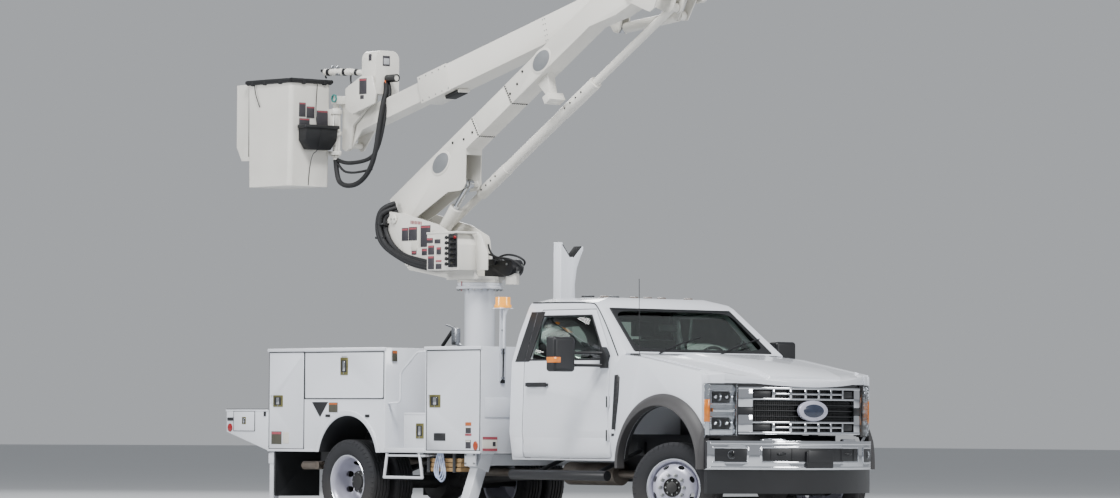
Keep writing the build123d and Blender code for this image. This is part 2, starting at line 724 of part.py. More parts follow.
def front_bumper():
    shape = nose_band(BUMPER_X, BUMPER_SIDE_X, BUMPER_HALF, 80, BUMPER_LOW, BUMPER_HIGH)
    deep = nose_band(BUMPER_X + 60, BUMPER_SIDE_X + 60, BUMPER_HALF, 260, BUMPER_LOW, BUMPER_HIGH)
    shape -= deep & block(300, 1000, -330, 330, BUMPER_LOW + 70, BUMPER_HIGH - 60)
    for y in (-790, 790):
        shape -= deep & block(300, 1000, y - 90, y + 90, BUMPER_LOW + 70, BUMPER_HIGH - 70)
    for y in (-390, 390):
        shape += block(RAIL_FRONT + 0.3, 760, y - 34, y + 34, 690, 800)
    shape += block(RAIL_FRONT + 0.3, RAIL_FRONT + 16, -430, 430, 690, 800)
    dam = nose_band(BUMPER_X - 60, BUMPER_SIDE_X - 10, BUMPER_HALF - 10, 40, 350, BUMPER_LOW + 1)
    return shape + dam


def wheel_flares():
    outer = disc_y(ARCH_X, ARCH_Z, -FLARE_HALF, -1000.3, ARCH_RADIUS + FLARE_WIDTH)
    outer += block(ARCH_X - ARCH_RADIUS - FLARE_WIDTH, ARCH_X + ARCH_RADIUS + FLARE_WIDTH,
                   -FLARE_HALF, -1000.3, 560, ARCH_Z)
    inner = disc_y(ARCH_X, ARCH_Z, -1200, -900, ARCH_RADIUS)
    inner += block(ARCH_X - ARCH_RADIUS, ARCH_X + ARCH_RADIUS, -1200, -900, 400, ARCH_Z)
    outer &= block(-1000, 1000, -1300, -900, 560, 1400)
    return pair(outer - inner)


def running_boards():
    y = -1035
    shape = bar((-2070, y, 490), (-760, y, 490), 45)
    for x in (-1780, -960):
        shape += bar((x, y, 490), (x, -RAIL_OUTER_Y - 16, 720), 20)
        shape += block(x - 50, x + 50, -RAIL_OUTER_Y - 28, -RAIL_OUTER_Y - 0.3, 680, 790)
    return pair(shape)


def outrigger_place(side, z):
    """Point on the leg's axis at a height."""
    return (OUTRIGGER_X, side * (OUTRIGGER_Y + (OUTRIGGER_Z - z) * tan(radians(OUTRIGGER_TILT))), z)


def outrigger_bar(side, half, z_low, z_high):
    """Square bar along the leg's axis between two heights."""
    low = Vector(*outrigger_place(side, z_low))
    high = Vector(*outrigger_place(side, z_high))
    plane = Plane(origin=low, x_dir=(1, 0, 0), z_dir=(high - low).normalized())
    return extrude(plane * Rectangle(2 * half, 2 * half), amount=(high - low).length)


# Service body: one row for each locker door, with its edges and the edge that carries its hinge
LOCKERS = (
    # name, rear, front, low, high, hinge
    ("rear_vertical", BODY_REAR + 13, DOOR_SEAM, 705, 1620, "front"),
    ("horizontal", DOOR_SEAM + 24, RECESS_REAR - 23, 1190, 1615, "bottom"),
    ("front_vertical", RECESS_FRONT + 25, BODY_FRONT - 18, 705, 1620, "front"),
)


def cabinet():
    outline = [(BODY_REAR, BODY_LOW), (BODY_FRONT, BODY_LOW), (BODY_FRONT, BODY_HIGH),
               (RECESS_FRONT, BODY_HIGH), (RECESS_FRONT, LEDGE_HIGH), (RECESS_REAR, LEDGE_HIGH),
               (RECESS_REAR, BODY_HIGH), (BODY_REAR, BODY_HIGH)]
    shape = side_prism(outline, -BODY_HALF, -CABINET_INNER)
    for name, rear, front, low, high, hinge in LOCKERS:
        g = LOCKER_GAP
        shape -= block(rear - g, front + g, -BODY_HALF - 5, -CABINET_INNER - CABINET_WALL,
                       low - g, high + g)
    lip = disc_y(REAR_ARCH_X, REAR_ARCH_Z, -BODY_HALF - 12, -BODY_HALF + 20,
                 REAR_ARCH_RADIUS + ARCH_LIP)
    lip &= block(REAR_ARCH_X - 600, REAR_ARCH_X + 600, -1300, -1000, BODY_LOW, 1400)
    shape += lip
    shape -= disc_y(REAR_ARCH_X, REAR_ARCH_Z, -1300, -600, REAR_ARCH_RADIUS)
    return shape - outrigger_bar(-1, LEG_HALF + SLEEVE_WALL + 3, SLEEVE_LOW - 50, SLEEVE_HIGH + 10)


def locker_door(row, side):
    name, rear, front, low, high, hinge = row
    door = block(rear, front, -BODY_HALF - 2, -BODY_HALF - 2 + DOOR_THICK, low, high)
    latch_x = rear + 55 if hinge == "front" else (rear + front) / 2
    latch_z = (low + high) / 2 if hinge == "front" else high - 85
    door -= block(latch_x - 38, latch_x + 38, -BODY_HALF - 5, -BODY_HALF + 8,
                  latch_z - 50, latch_z + 50)
    door += block(latch_x - 26, latch_x + 26, -BODY_HALF, -BODY_HALF + 12, latch_z - 30, latch_z + 30)
    y = -BODY_HALF - 4
    if hinge == "front":
        door += bar((front, y, low + 20), (front, y, high - 20), LOCKER_GAP - 0.3)
    else:
        door += bar((rear + 20, y, low), (front - 20, y, low), LOCKER_GAP - 0.3)
    return door if side < 0 else left_of(door)


def bed_floor():
    inner = CABINET_INNER - 0.3
    shape = block(BODY_REAR, BODY_FRONT, -inner, inner, BED_BOTTOM, BED_TOP)
    shape += block(BODY_FRONT - 20, BODY_FRONT, -inner, inner, BED_TOP - 5, 1640)
    shape -= bar((MAST_X, 0, BED_BOTTOM - 10), (MAST_X, 0, BED_TOP + 10), MAST_RADIUS + 2)
    for x in (BODY_REAR + 300, REAR_ARCH_X + 75, -3500, -2700):
        shape += block(x - 40, x + 40, -inner, inner, RAIL_TOP + 0.3, BED_BOTTOM + 1)
    return shape


def tail_shelf():
    outer = [(SHELF_REAR, SHELF_LOW), (BODY_REAR - 0.3, BODY_LOW + 4), (BODY_REAR - 0.3, SHELF_HIGH),
             (SHELF_REAR, SHELF_HIGH)]
    shape = side_prism(outer, -BODY_HALF, BODY_HALF)
    front = BODY_REAR - 200
    cavity = [(SHELF_REAR + 60, SHELF_LOW + 25), (front, SHELF_LOW - 20), (front, SHELF_HIGH - 20),
              (SHELF_REAR + 60, SHELF_HIGH - 20)]
    shape -= side_prism(cavity, -BODY_HALF + 25, BODY_HALF - 25)
    shape -= block(RAIL_REAR - 50, BODY_REAR + 10, -RAIL_OUTER_Y - 4, RAIL_OUTER_Y + 4, 600, RAIL_TOP + 5)
    return shape


def mud_flaps():
    x = BODY_REAR + 100
    flap = block(x - 6, x + 6, -1180, -650, 250, BODY_LOW - 0.3)
    flap += bar((x, -1186, 255), (x, -1186, BODY_LOW - 0.3), 11)
    return pair(flap)


def access_steps():
    """Stirrup below the step recess, grab handle and the small locker inside the recess."""
    y = -BODY_HALF + 14
    rear, front = RECESS_REAR - 21, RECESS_FRONT - 53
    stirrup = bar((rear, y, STEP_Z), (front, y, STEP_Z), 14)
    for x, lean in ((rear, 43), (front, -43)):
        stirrup += bar((x, y, STEP_Z), (x + lean, y, BODY_LOW - 3), 14)
        stirrup += Pos(x, y, STEP_Z) * Sphere(14)
    box = block(RECESS_FRONT - 347, RECESS_FRONT - 0.3, -BODY_HALF + 30, -CABINET_INNER - 60, LEDGE_HIGH + 0.3, 1046)
    return group(pair(stirrup), pair(box))


def outrigger_housing():
    """Two sleeves joined by a beam under the frame rails."""
    shape = None
    for side in (-1, 1):
        sleeve = outrigger_bar(side, LEG_HALF + SLEEVE_WALL, SLEEVE_LOW, SLEEVE_HIGH)
        shape = sleeve if shape is None else shape + sleeve
    beam_top = RAIL_TOP - RAIL_DEPTH - 0.3
    shape += block(OUTRIGGER_X - 60, OUTRIGGER_X + 60, -OUTRIGGER_Y + 20, OUTRIGGER_Y - 20,
                   beam_top - 105, beam_top)
    for side in (-1, 1):
        shape -= outrigger_bar(side, LEG_HALF + FIT, SLEEVE_LOW - 60, SLEEVE_HIGH + 60)
    return shape


def outrigger_leg(side):
    leg = outrigger_bar(side, LEG_HALF, LEG_LOW, LEG_HIGH)
    x, y, z = outrigger_place(side, LEG_LOW)
    leg += block(x - 80, x + 80, y - 75, y + 75, LEG_LOW - PAD_THICK, LEG_LOW + 25)
    return leg


def pedestal():
    shape = bar((MAST_X, 0, RAIL_TOP + 0.3), (MAST_X, 0, FLANGE_LOW + 1), MAST_RADIUS)
    shape += bar((MAST_X, 0, FLANGE_LOW), (MAST_X, 0, FLANGE_LOW + 26), FLANGE_RADIUS)
    shape += bar((MAST_X, 0, FLANGE_LOW + 20), (MAST_X, 0, TURNTABLE_Z - 0.5), FLANGE_RADIUS - 24)
    shape += block(MAST_X - 235, MAST_X + 235, -RAIL_OUTER_Y, RAIL_OUTER_Y, RAIL_TOP + 0.3, BED_BOTTOM - 0.3)
    return shape


def boom_rest():
    shape = block(REST_X - 50, REST_X + 50, -50, 50, BED_TOP + 0.3, REST_SEAT - 40)
    shape += block(REST_X - 50, REST_X + 50, -141, 141, REST_SEAT - 45, REST_SEAT)
    for side, rise in ((-1, 44), (1, 12)):
        shape += block(REST_X - 50, REST_X + 50, side * 112, side * 141, REST_SEAT - 10, REST_SEAT + rise)
    return shape + block(REST_X - 120, REST_X + 120, -120, 120, BED_TOP + 0.3, BED_TOP + 14)


def beacon():
    x = BODY_FRONT + 0.3
    y = -942
    shape = block(x, x + 8, y - 35, y + 35, 1340, 2010)
    shape += block(x - 60, x + 68, y - 70, y + 70, 2002, 2012)
    shape += bar((x + 4, y, 2011), (x + 4, y, 2040), 80)
    return shape + bar((x + 4, y, 2039), (x + 4, y, 2110), 70)


# Aerial device
def slot_y(x, z, long, high, y_low, y_high):
    """Oval bar along Y."""
    plane = Plane(origin=(x, y_high, z), x_dir=(1, 0, 0), z_dir=(0, -1, 0))
    return extrude(plane * SlotOverall(long, high), amount=y_high - y_low, dir=(0, -1, 0))


def turntable():
    outline = [(-4948, 3001), (-4945, 2818), (-4590, 2425), (-4016, 2336), (-3566, DECK_LOW),
               (-3566, DECK_HIGH), (-3860, DECK_HIGH + 13), (-3904, 2700), (-3925, 2746),
               (-4165, 2852), (-4664, 2965)]
    shape = side_prism(outline, *NEAR_PLATE) + side_prism(outline, *FAR_PLATE)
    near, far = NEAR_PLATE[0] + 1, FAR_PLATE[1] - 1
    shape += block(-4020, -3566, near, far, DECK_LOW, DECK_HIGH)
    shape += bar((MAST_X, 0, TURNTABLE_Z), (MAST_X, 0, DECK_HIGH), FLANGE_RADIUS)
    shape += side_prism([(-4560, 2421), (-4010, 2336), (-4010, 2356), (-4560, 2441)], near, far)
    shape += disc_y(*LOWER_PIVOT, NEAR_PLATE[0] - 8, FAR_PLATE[1], PIVOT_PIN)
    shape += disc_y(*LIFT_BASE, NEAR_PLATE[0] - 8, FAR_PLATE[1], LIFT_PIN)
    shape += disc_y(*LINK_FOOT, LINK_Y - 46, FAR_PLATE[1], LINK_PIN)
    shape += side_prism([(-3904, 2400), (-3566, 2400), (-3566, 2640), (-3640, 2760), (-3904, 2760)],
                        -450, NEAR_PLATE[0] - 6)
    shape += block(-3890, -3580, NEAR_PLATE[0] - 7, NEAR_PLATE[0] + 1, 2400, 2440)
    shape += block(-3890, -3580, NEAR_PLATE[0] - 20, NEAR_PLATE[0] + 16, DECK_LOW, 2404)
    shape += disc_y(-3420, 2430, 30, 170, 82)
    shape += block(-3760, -3419, 40, 160, DECK_HIGH - 1, 2500)
    shape += bar((-3420, 100, 2270), (-3420, 100, 2430), 66)
    return shape


def boom_box(start, end, half, low, high, wall):
    """Hollow box along a boom."""
    return (block(start, end, -half, half, low, high)
            - block(start - 5, end + 5, -half + wall, half - wall, low + wall, high - wall))


def lower_boom():
    """Open-bottomed steel base, a box that runs through the insulating sleeve, and the end lug."""
    half = LOWER_HALF
    base = side_prism([(-83, LOWER_HIGH), (-83, 100), (-72, -30), (-32, -75), (60, -75), (690, -130),
                       (856, -218), (906, -229), (956, -205), (985, -150), (1130, LOWER_LOW),
                       (INSERT_START, LOWER_LOW), (INSERT_START, LOWER_HIGH)], -half, half)
    base -= side_prism([(-200, -300), (990, -300), (1180, LOWER_HIGH - LOWER_WALL),
                        (-200, LOWER_HIGH - LOWER_WALL)], -half + LOWER_WALL, half - LOWER_WALL)
    base += block(-82, -40, -half + 1, half - 1, 150, LOWER_HIGH - 1)
    base += disc_y(0, 0, -half - 30, half + 30, 62)
    base -= slot_y(738, 170, 180, 120, -half - 5, half + 5)
    skin = half - INSERT_WALL
    core = boom_box(INSERT_START - 30, INSERT_END + 30, skin - 0.3, LOWER_LOW + INSERT_WALL + 0.3,
                    LOWER_HIGH - INSERT_WALL - 0.3, 12)
    outer = side_prism([(INSERT_END, LOWER_LOW), (3200, LOWER_LOW), (3560, -40), (3790, -75),
                        (3900, -75), (3940, -20), (3945, 40), (3760, LOWER_HIGH - 60),
                        (3620, LOWER_HIGH), (INSERT_END, LOWER_HIGH)], -half, half)
    outer -= block(INSERT_END - 5, 3400, -half + LOWER_WALL, half - LOWER_WALL,
                   LOWER_LOW + LOWER_WALL, LOWER_HIGH - LOWER_WALL)
    outer -= slot_y(2475, 170, 180, 120, -half - 5, half + 5)
    for x in (INSERT_START - 31, INSERT_END + 1):
        ring = block(x, x + 30, -half + 1, half - 1, LOWER_LOW + 1, LOWER_HIGH - 1)
        core += ring - block(x - 5, x + 35, -skin + 20, skin - 20, LOWER_LOW + 40, LOWER_HIGH - 40)
    latch = side_prism([(2255, LOWER_LOW + 1), (2320, -118), (2370, -118), (2435, LOWER_LOW + 1)], -40, 40)
    latch += block(2300, 2390, -95, 95, -190, -117)
    shape = base + core + outer + latch
    for y0, y1 in ((-half, -75), (75, half)):
        shape += disc_y(*LIFT_EYE, y0, y1, LIFT_PIN)
    shape -= disc_y(0, 0, -300, 300, PIVOT_PIN + FIT)
    shape -= disc_y(LOWER_LENGTH, 0, -300, 300, PIVOT_PIN + FIT)
    return on_lower(shape)


def lower_boom_insert():
    half = LOWER_HALF
    low, high = LOWER_LOW, LOWER_HIGH
    start, end = INSERT_START + 0.3, INSERT_END - 0.3
    sleeve = block(start, end, -half, half, low, high)
    skin = half - INSERT_WALL
    sleeve -= block(start - 5, end + 5, -skin, skin, low + INSERT_WALL, high - INSERT_WALL)
    return on_lower(sleeve)


LINK_COLLARS = ((700, 1147, LINK_COLLAR), (1147, 2092, 55), (2092, 2621, LINK_COLLAR))


def compression_link():
    length = hypot(LINK_HEAD[0] - LINK_FOOT[0], LINK_HEAD[1] - LINK_FOOT[1])
    shape = bar((0, LINK_Y, 0), (length, LINK_Y, 0), LINK_RADIUS - 4)
    for start, end, radius in LINK_COLLARS:
        shape += bar((start, LINK_Y, 0), (end, LINK_Y, 0), radius)
    for x in (0, length):
        shape += disc_y(x, 0, LINK_Y - 40, LINK_Y + 40, LINK_EYE)
    for x in (0, length):
        shape -= disc_y(x, 0, -300, 300, LINK_PIN + FIT)
    return on_line(LINK_FOOT, LINK_HEAD, shape)


def elbow():
    """Plates that carry the ends of the lower boom and the link, and the tube for the upper boom."""
    cx, cz = ELBOW
    dx, dz = LINK_HEAD
    ex, ez = UPPER_PIVOT
    outline = [(cx - 85, cz - 35), (cx - 30, cz - 85), (dx - 55, dz - 40), (dx, dz - 58),
               (dx + 60, dz - 30), (ex + 95, ez - 50), (ex + 95, ez + 50), (ex + 40, ez + 95),
               (ex - 60, ez + 95), (cx - 40, cz + 85), (cx - 85, cz + 40)]
    shape = disc_y(ex, ez, ELBOW_PLATES[0][0], UPPER_Y + UPPER_WIDTH / 2 + 8, ELBOW_TUBE)
    for y_low, y_high in ELBOW_PLATES:
        shape += side_prism(outline, y_low, y_high)
    shape += disc_y(cx, cz, ELBOW_PLATES[0][0] - 8, ELBOW_PLATES[1][1], PIVOT_PIN)
    shape += disc_y(dx, dz, ELBOW_PLATES[1][0], ELBOW_PLATES[2][1], LINK_PIN)
    cap = UPPER_Y + UPPER_WIDTH / 2 + 6
    shape += disc_y(ex, ez, cap, cap + 16, 100)
    gx, gz = UPPER_FOOT
    lug = [(ex - 66, ez), (gx - 46, gz), (gx - 20, gz - 44), (gx + 30, gz - 40), (ex + 66, ez)]
    for y in (UPPER_Y - 65, UPPER_Y + 53):
        shape += side_prism(lug, y, y + 12)
    return shape + disc_y(gx, gz, UPPER_Y - 70, UPPER_Y + 70, UPPER_PIN)


def cylinder_barrel(start, end, y, radius, rod_radius, pin, barrel_end):
    """Eye on the lower pin, and a barrel bored for its rod."""
    shape = bar((36, y, 0), (barrel_end, y, 0), radius)
    shape += disc_y(0, 0, y - 30, y + 30, pin + 20)
    shape -= bar((60, y, 0), (barrel_end + 5, y, 0), rod_radius + FIT)
    shape -= disc_y(0, 0, y - 90, y + 90, pin + FIT)
    return on_line(start, end, shape)


def cylinder_rod(start, end, y, rod_radius, pin, rod_length):
    length = hypot(end[0] - start[0], end[1] - start[1])
    shape = bar((length - rod_length, y, 0), (length - pin, y, 0), rod_radius)
    shape += disc_y(length, 0, y - 28, y + 28, pin + 16)
    shape -= disc_y(length, 0, y - 90, y + 90, pin + FIT)
    return on_line(start, end, shape)


def lift_barrel():
    return cylinder_barrel(LIFT_BASE, LIFT_HEAD, 0, LIFT_BARREL, LIFT_ROD, LIFT_PIN, LIFT_BARREL_END)


def lift_rod():
    return cylinder_rod(LIFT_BASE, LIFT_HEAD, 0, LIFT_ROD, LIFT_PIN, LIFT_ROD_LENGTH)


def upper_lift_barrel():
    return cylinder_barrel(UPPER_FOOT, UPPER_EYE, UPPER_Y, UPPER_BARREL, UPPER_ROD, UPPER_PIN,
                           UPPER_BARREL_END)


def upper_lift_rod():
    return cylinder_rod(UPPER_FOOT, UPPER_EYE, UPPER_Y, UPPER_ROD, UPPER_PIN, UPPER_ROD_LENGTH)


def upper_boom():
    half = UPPER_WIDTH / 2
    low = UPPER_RISE - UPPER_DEPTH / 2
    high = UPPER_RISE + UPPER_DEPTH / 2
    shape = block(-UPPER_END, -UPPER_START, -half, half, low, high)
    shape += block(-UPPER_END, -COLLAR_START, -half - COLLAR, half + COLLAR, low - COLLAR, high + COLLAR)
    shape -= block(-UPPER_END - 5, -300, -half + UPPER_WALL, half - UPPER_WALL,
                   low + UPPER_WALL, high - UPPER_WALL)
    pad = (-UPPER_END + 10, -UPPER_END + 100)
    beside = TIP_WIDTH / 2 + FIT
    above = TIP_DEPTH / 2 + FIT
    for side in (-1, 1):
        shape += block(*pad, side * beside, side * (half - UPPER_WALL + 1), UPPER_RISE - 60, UPPER_RISE + 60)
        shape += block(*pad, -60, 60, UPPER_RISE + side * above,
                       UPPER_RISE + side * (UPPER_DEPTH / 2 - UPPER_WALL + 1))
    ear = [(-330, low + 1), (-95, -55), (-50, -98), (50, -98), (95, -55), (-UPPER_START, low + 1)]
    for y in (-half, half - PLATE):
        shape += side_prism(ear, y, y + PLATE)
    shape -= disc_y(0, 0, -half - 5, half + 5, ELBOW_TUBE + FIT)
    x, z = -UPPER_CYLINDER_EYE[0], UPPER_CYLINDER_EYE[1]
    lug = [(x - 120, low + 1), (x - 45, z - 20), (x, z - 46), (x + 45, z - 20), (x + 120, low + 1)]
    for side in (-1, 1):
        y_low, y_high = sorted((side * 40, side * 58))
        shape += side_prism(lug, y_low, y_high)
        shape += disc_y(x, z, *sorted((side * 33, side * 62)), UPPER_PIN)
    shape += block(-3560, -3330, -60, 60, low - COLLAR - 30, low - COLLAR + 1)
    return on_upper(shape)


def tip_boom():
    half = TIP_WIDTH / 2
    low = UPPER_RISE - TIP_DEPTH / 2
    high = UPPER_RISE + TIP_DEPTH / 2
    shape = block(-TIP_END, -TIP_TAIL, -half, half, low, high)
    shape -= block(-TIP_END + 60, -TIP_TAIL + 5, -half + 14, half - 14, low + 14, high - 14)
    shape -= side_prism([(-TIP_END - 1, high - 56), (-TIP_END - 1, high + 1), (-TIP_END + 41, high + 1)],
                        -half - 1, half + 1)
    x, z = -TIP_PIVOT[0], TIP_PIVOT[1]
    cheek = [(x - 43, low + 1), (x - 50, z - 20), (x - 20, z - 52), (x + 20, z - 52), (x + 240, low + 1)]
    for y in (-half, half - PLATE):
        shape += side_prism(cheek, y, y + PLATE)
    shape -= disc_y(x, z, -half - 5, half + 5, TIP_PIN + FIT)
    return on_upper(shape)


def platform_head():
    """Side arm from the tip pivot, casting, control housing, handle and the bucket's post."""
    x, z = PLATFORM_PIVOT
    outline = [(x - 55, z - 30), (x, z - 58), (x + 55, z - 30), (x + 120, z + 200),
               (x + 330, z + 360), (x + 430, HEAD_HIGH), (x + 430, HEAD_HIGH + 80),
               (POST_X - 15, HEAD_HIGH + 80), (POST_X - 15, HEAD_HIGH), (x - 52, HEAD_HIGH - 44)]
    shape = side_prism(outline, *HEAD_ARM)
    shape += disc_y(x, z, HEAD_ARM[0], UPPER_Y + TIP_WIDTH / 2 + 8, TIP_PIN)
    shape += block(x - 50, x + 460, 200, HEAD_ARM[1], HEAD_HIGH, HEAD_HIGH + 80)
    shape += block(POST_X - 15, POST_X + 60, POST_Y - 50, HEAD_ARM[1], HEAD_HIGH, HEAD_HIGH + 80)
    shape += bar((POST_X, POST_Y, BUCKET_LOW + 270), (POST_X, POST_Y, HEAD_HIGH + 10), POST_RADIUS)
    rear, front = x + 294, x + 508
    shape += block(rear - 14, front + 14, 196, 503, HEAD_HIGH + 79, HOUSING_LOW + 1)
    housing = block(rear, front, 200, 499, HOUSING_LOW, HOUSING_HIGH)
    shape += fillet(housing.edges().filter_by(Axis.X).group_by(Axis.Z)[-1], 85)
    shape += bar((front - 1, 350, HOUSING_LOW + 150), (front + 142, 350, HOUSING_LOW + 150), 38)
    handle = HOUSING_LOW + 230
    shape += bar((rear + 6, 260, handle - 25), (rear - 194, 215, handle + 5), 28)
    shape += bar((rear - 184, 215, handle), (rear - 584, 200, handle + 15), 34)
    return shape


def bucket():
    """Open bucket with its rolled lip, step box, pouch and the sleeve round the post."""
    (x0, x1), (y0, y1) = BUCKET_X, BUCKET_Y
    cx, cy = (x0 + x1) / 2, (y0 + y1) / 2
    long, wide = x1 - x0, y1 - y0
    foot_long, foot_wide = BUCKET_FOOT
    skin = 2 * BUCKET_WALL
    outer = loft([Pos(cx, cy, BUCKET_LOW) * RectangleRounded(foot_long, foot_wide, 50),
                  Pos(cx, cy, BUCKET_HIGH) * RectangleRounded(long - 36, wide - 36, 50)])
    inner = loft([Pos(cx, cy, BUCKET_LOW + BUCKET_WALL)
                  * RectangleRounded(foot_long - skin, foot_wide - skin, 41),
                  Pos(cx, cy, BUCKET_HIGH + 5)
                  * RectangleRounded(long - 36 - skin, wide - 36 - skin, 41)])
    lip = extrude(Pos(cx, cy, BUCKET_HIGH - 40) * RectangleRounded(long, wide, 60), amount=40)
    shape = outer + lip
    shape += side_prism([(x0 - 204, BUCKET_HIGH - 25), (x0 - 204, BUCKET_LOW + 410),
                         (x0 - 120, BUCKET_LOW + 270), (x0 + 30, BUCKET_LOW + 270),
                         (x0 + 22, BUCKET_HIGH - 25)], -300, 100)
    shape += side_prism([(x1 - 24, BUCKET_LOW + 360), (x1 + 80, BUCKET_LOW + 360),
                         (x1 + 110, BUCKET_LOW + 580), (x1 - 20, BUCKET_LOW + 580)], -248, 140)
    shape += bar((POST_X, POST_Y, BUCKET_LOW + 300), (POST_X, POST_Y, BUCKET_LOW + 780), SLEEVE_RADIUS)
    for low, high in ((610, 770), (310, 355)):
        shape += block(POST_X - 80, POST_X - 10, cy + wide / 2 - 60, POST_Y + 20,
                       BUCKET_LOW + low, BUCKET_LOW + high)
    shape -= inner
    return shape - bar((POST_X, POST_Y, BUCKET_LOW + 210), (POST_X, POST_Y, BUCKET_LOW + 910),
                       POST_RADIUS + FIT)


def all_nodes():
    nodes = {
        "frame_rails": frame_rails(), "engine_block": engine_block(), "front_axle": front_axle(),
        "rear_axle": rear_axle(), "exhaust": exhaust(), "cab_shell": cab_shell(),
        "cab_glass": cab_glass(), "seats": seats(), "dashboard": dashboard(), "fenders": fenders(),
        "grille": grille(), "headlights": headlights(), "front_bumper": front_bumper(),
        "wheel_flares": wheel_flares(), "running_boards": running_boards(), "hood": hood(),
        "bed_floor": bed_floor(), "tail_shelf": tail_shelf(), "mud_flaps": mud_flaps(),
        "access_steps": access_steps(), "outrigger_housing": outrigger_housing(),
        "pedestal": pedestal(), "boom_rest": boom_rest(), "beacon": beacon(), "tie_rod": tie_rod(),
        "turntable": turntable(), "lower_boom": lower_boom(),
        "lower_boom_insert": lower_boom_insert(), "compression_link": compression_link(),
        "elbow": elbow(), "lift_barrel": lift_barrel(), "lift_rod": lift_rod(),
        "upper_boom": upper_boom(), "tip_boom": tip_boom(),
        "upper_lift_barrel": upper_lift_barrel(), "upper_lift_rod": upper_lift_rod(),
        "platform_head": platform_head(), "bucket": bucket(),
    }
    right_cabinet = cabinet()
    nodes["cabinet_right"] = right_cabinet
    nodes["cabinet_left"] = left_of(right_cabinet)
    for side, name in ((-1, "right"), (1, "left")):
        nodes["knuckle_" + name] = knuckle(side)
        nodes["front_wheel_" + name] = front_wheel(side)
        nodes["rear_wheels_" + name] = rear_wheels(side)
        nodes["cab_door_" + name] = cab_door(side)
        nodes["door_glass_" + name] = door_glass(side)
        nodes["outrigger_leg_" + name] = outrigger_leg(side)
        for row in LOCKERS:
            nodes["locker_" + row[0] + "_" + name] = locker_door(row, side)
    return nodes


def main():
    nodes = all_nodes()
    boxes = [shape.bounding_box() for shape in nodes.values()]
    front = max(box.max.X for box in boxes)
    rear = min(box.min.X for box in boxes)
    low = min(box.min.Z for box in boxes)
    middle = (front + rear) / 2
    os.makedirs("parts", exist_ok=True)
    for name, shape in nodes.items():
        export_step(Pos(-middle, 0, 0) * shape, f"parts/{name}.step")
    print("front", round(front, 3), "rear", round(rear, 3), "low", round(low, 3), "middle", round(middle, 3))


main()
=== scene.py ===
import bpy
import json
from math import cos, hypot, pi, radians, sin
from mathutils import Matrix, Vector

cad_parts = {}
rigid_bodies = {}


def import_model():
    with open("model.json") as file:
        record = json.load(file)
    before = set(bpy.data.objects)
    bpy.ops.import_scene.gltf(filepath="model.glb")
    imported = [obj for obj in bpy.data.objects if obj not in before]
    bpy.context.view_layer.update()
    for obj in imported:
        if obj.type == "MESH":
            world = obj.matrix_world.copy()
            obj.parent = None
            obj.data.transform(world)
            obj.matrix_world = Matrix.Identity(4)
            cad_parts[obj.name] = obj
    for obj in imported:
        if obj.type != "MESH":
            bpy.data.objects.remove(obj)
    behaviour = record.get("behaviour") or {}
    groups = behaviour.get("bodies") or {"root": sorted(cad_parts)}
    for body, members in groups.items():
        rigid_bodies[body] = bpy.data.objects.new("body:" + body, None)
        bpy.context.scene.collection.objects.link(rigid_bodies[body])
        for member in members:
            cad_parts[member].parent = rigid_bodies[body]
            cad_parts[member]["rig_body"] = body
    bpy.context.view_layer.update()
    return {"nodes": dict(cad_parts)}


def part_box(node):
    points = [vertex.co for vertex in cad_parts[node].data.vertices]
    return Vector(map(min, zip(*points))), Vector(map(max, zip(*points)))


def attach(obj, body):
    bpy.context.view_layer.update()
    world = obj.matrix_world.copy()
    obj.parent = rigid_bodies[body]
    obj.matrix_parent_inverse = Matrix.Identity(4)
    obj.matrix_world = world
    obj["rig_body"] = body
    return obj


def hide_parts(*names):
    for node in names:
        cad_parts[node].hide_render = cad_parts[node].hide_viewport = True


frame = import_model()

bl_info = {
    "name": "Aerial bucket truck",
    "version": (1, 0, 0),
    "blender": (4, 5, 0),
    "location": "View3D > Sidebar > Truck",
    "description": "Dresses the jointed model of an aerial bucket truck",
    "category": "Add Mesh",
}

# Places are in millimetres from the front axle, as on the drawings; the model's origin lies this
# far behind the axle.
AXLE_AHEAD = 3172.0
WHEELBASE = 4293
TYRE_RADIUS = 398
FRONT_WHEEL_Y, REAR_OUTER_Y, REAR_INNER_Y = 950, 1081, 799
KINGPIN_Y = 800
STEER_REST = radians(26)
# Centres of the wheel arches, as (x, z)
FRONT_ARCH = (-60, 600)
REAR_ARCH = (-4275, 576)
ROOF_TOP = 2097
# Door glass leans in from this height, by so much for each millimetre up, and starts this far out
GLASS_FOOT, GLASS_LEAN, GLASS_OUT = 1505, 0.3394, 986
MAST_X = -3780
BUCKET_POST = (-6235, 180)
LOWER_PIVOT = (-4812, 2919)
LOWER_ANGLE = radians(31)
LOWER_LENGTH = 3859
UPPER_ANGLE = radians(14.6)
UPPER_Y = 365


def at(x, y, z):
    """Place in metres of a point given in millimetres from the front axle."""
    return Vector(((x + AXLE_AHEAD) / 1000, y / 1000, z / 1000))


def on_lower(along, rise, y=0):
    """Point on the lower boom, along it from its pivot and above its pivot line."""
    x = LOWER_PIVOT[0] + along * cos(LOWER_ANGLE) - rise * sin(LOWER_ANGLE)
    z = LOWER_PIVOT[1] + along * sin(LOWER_ANGLE) + rise * cos(LOWER_ANGLE)
    return (x, y, z)


ELBOW_X, _, ELBOW_Z = on_lower(LOWER_LENGTH, 0)
UPPER_PIVOT = (ELBOW_X + 270, ELBOW_Z + 25)


def on_upper(along, rise, y=UPPER_Y):
    """Point on the upper boom, along it from its pivot and above its pivot line."""
    x = UPPER_PIVOT[0] - along * cos(UPPER_ANGLE) - rise * sin(UPPER_ANGLE)
    z = UPPER_PIVOT[1] - along * sin(UPPER_ANGLE) + rise * cos(UPPER_ANGLE)
    return (x, y, z)


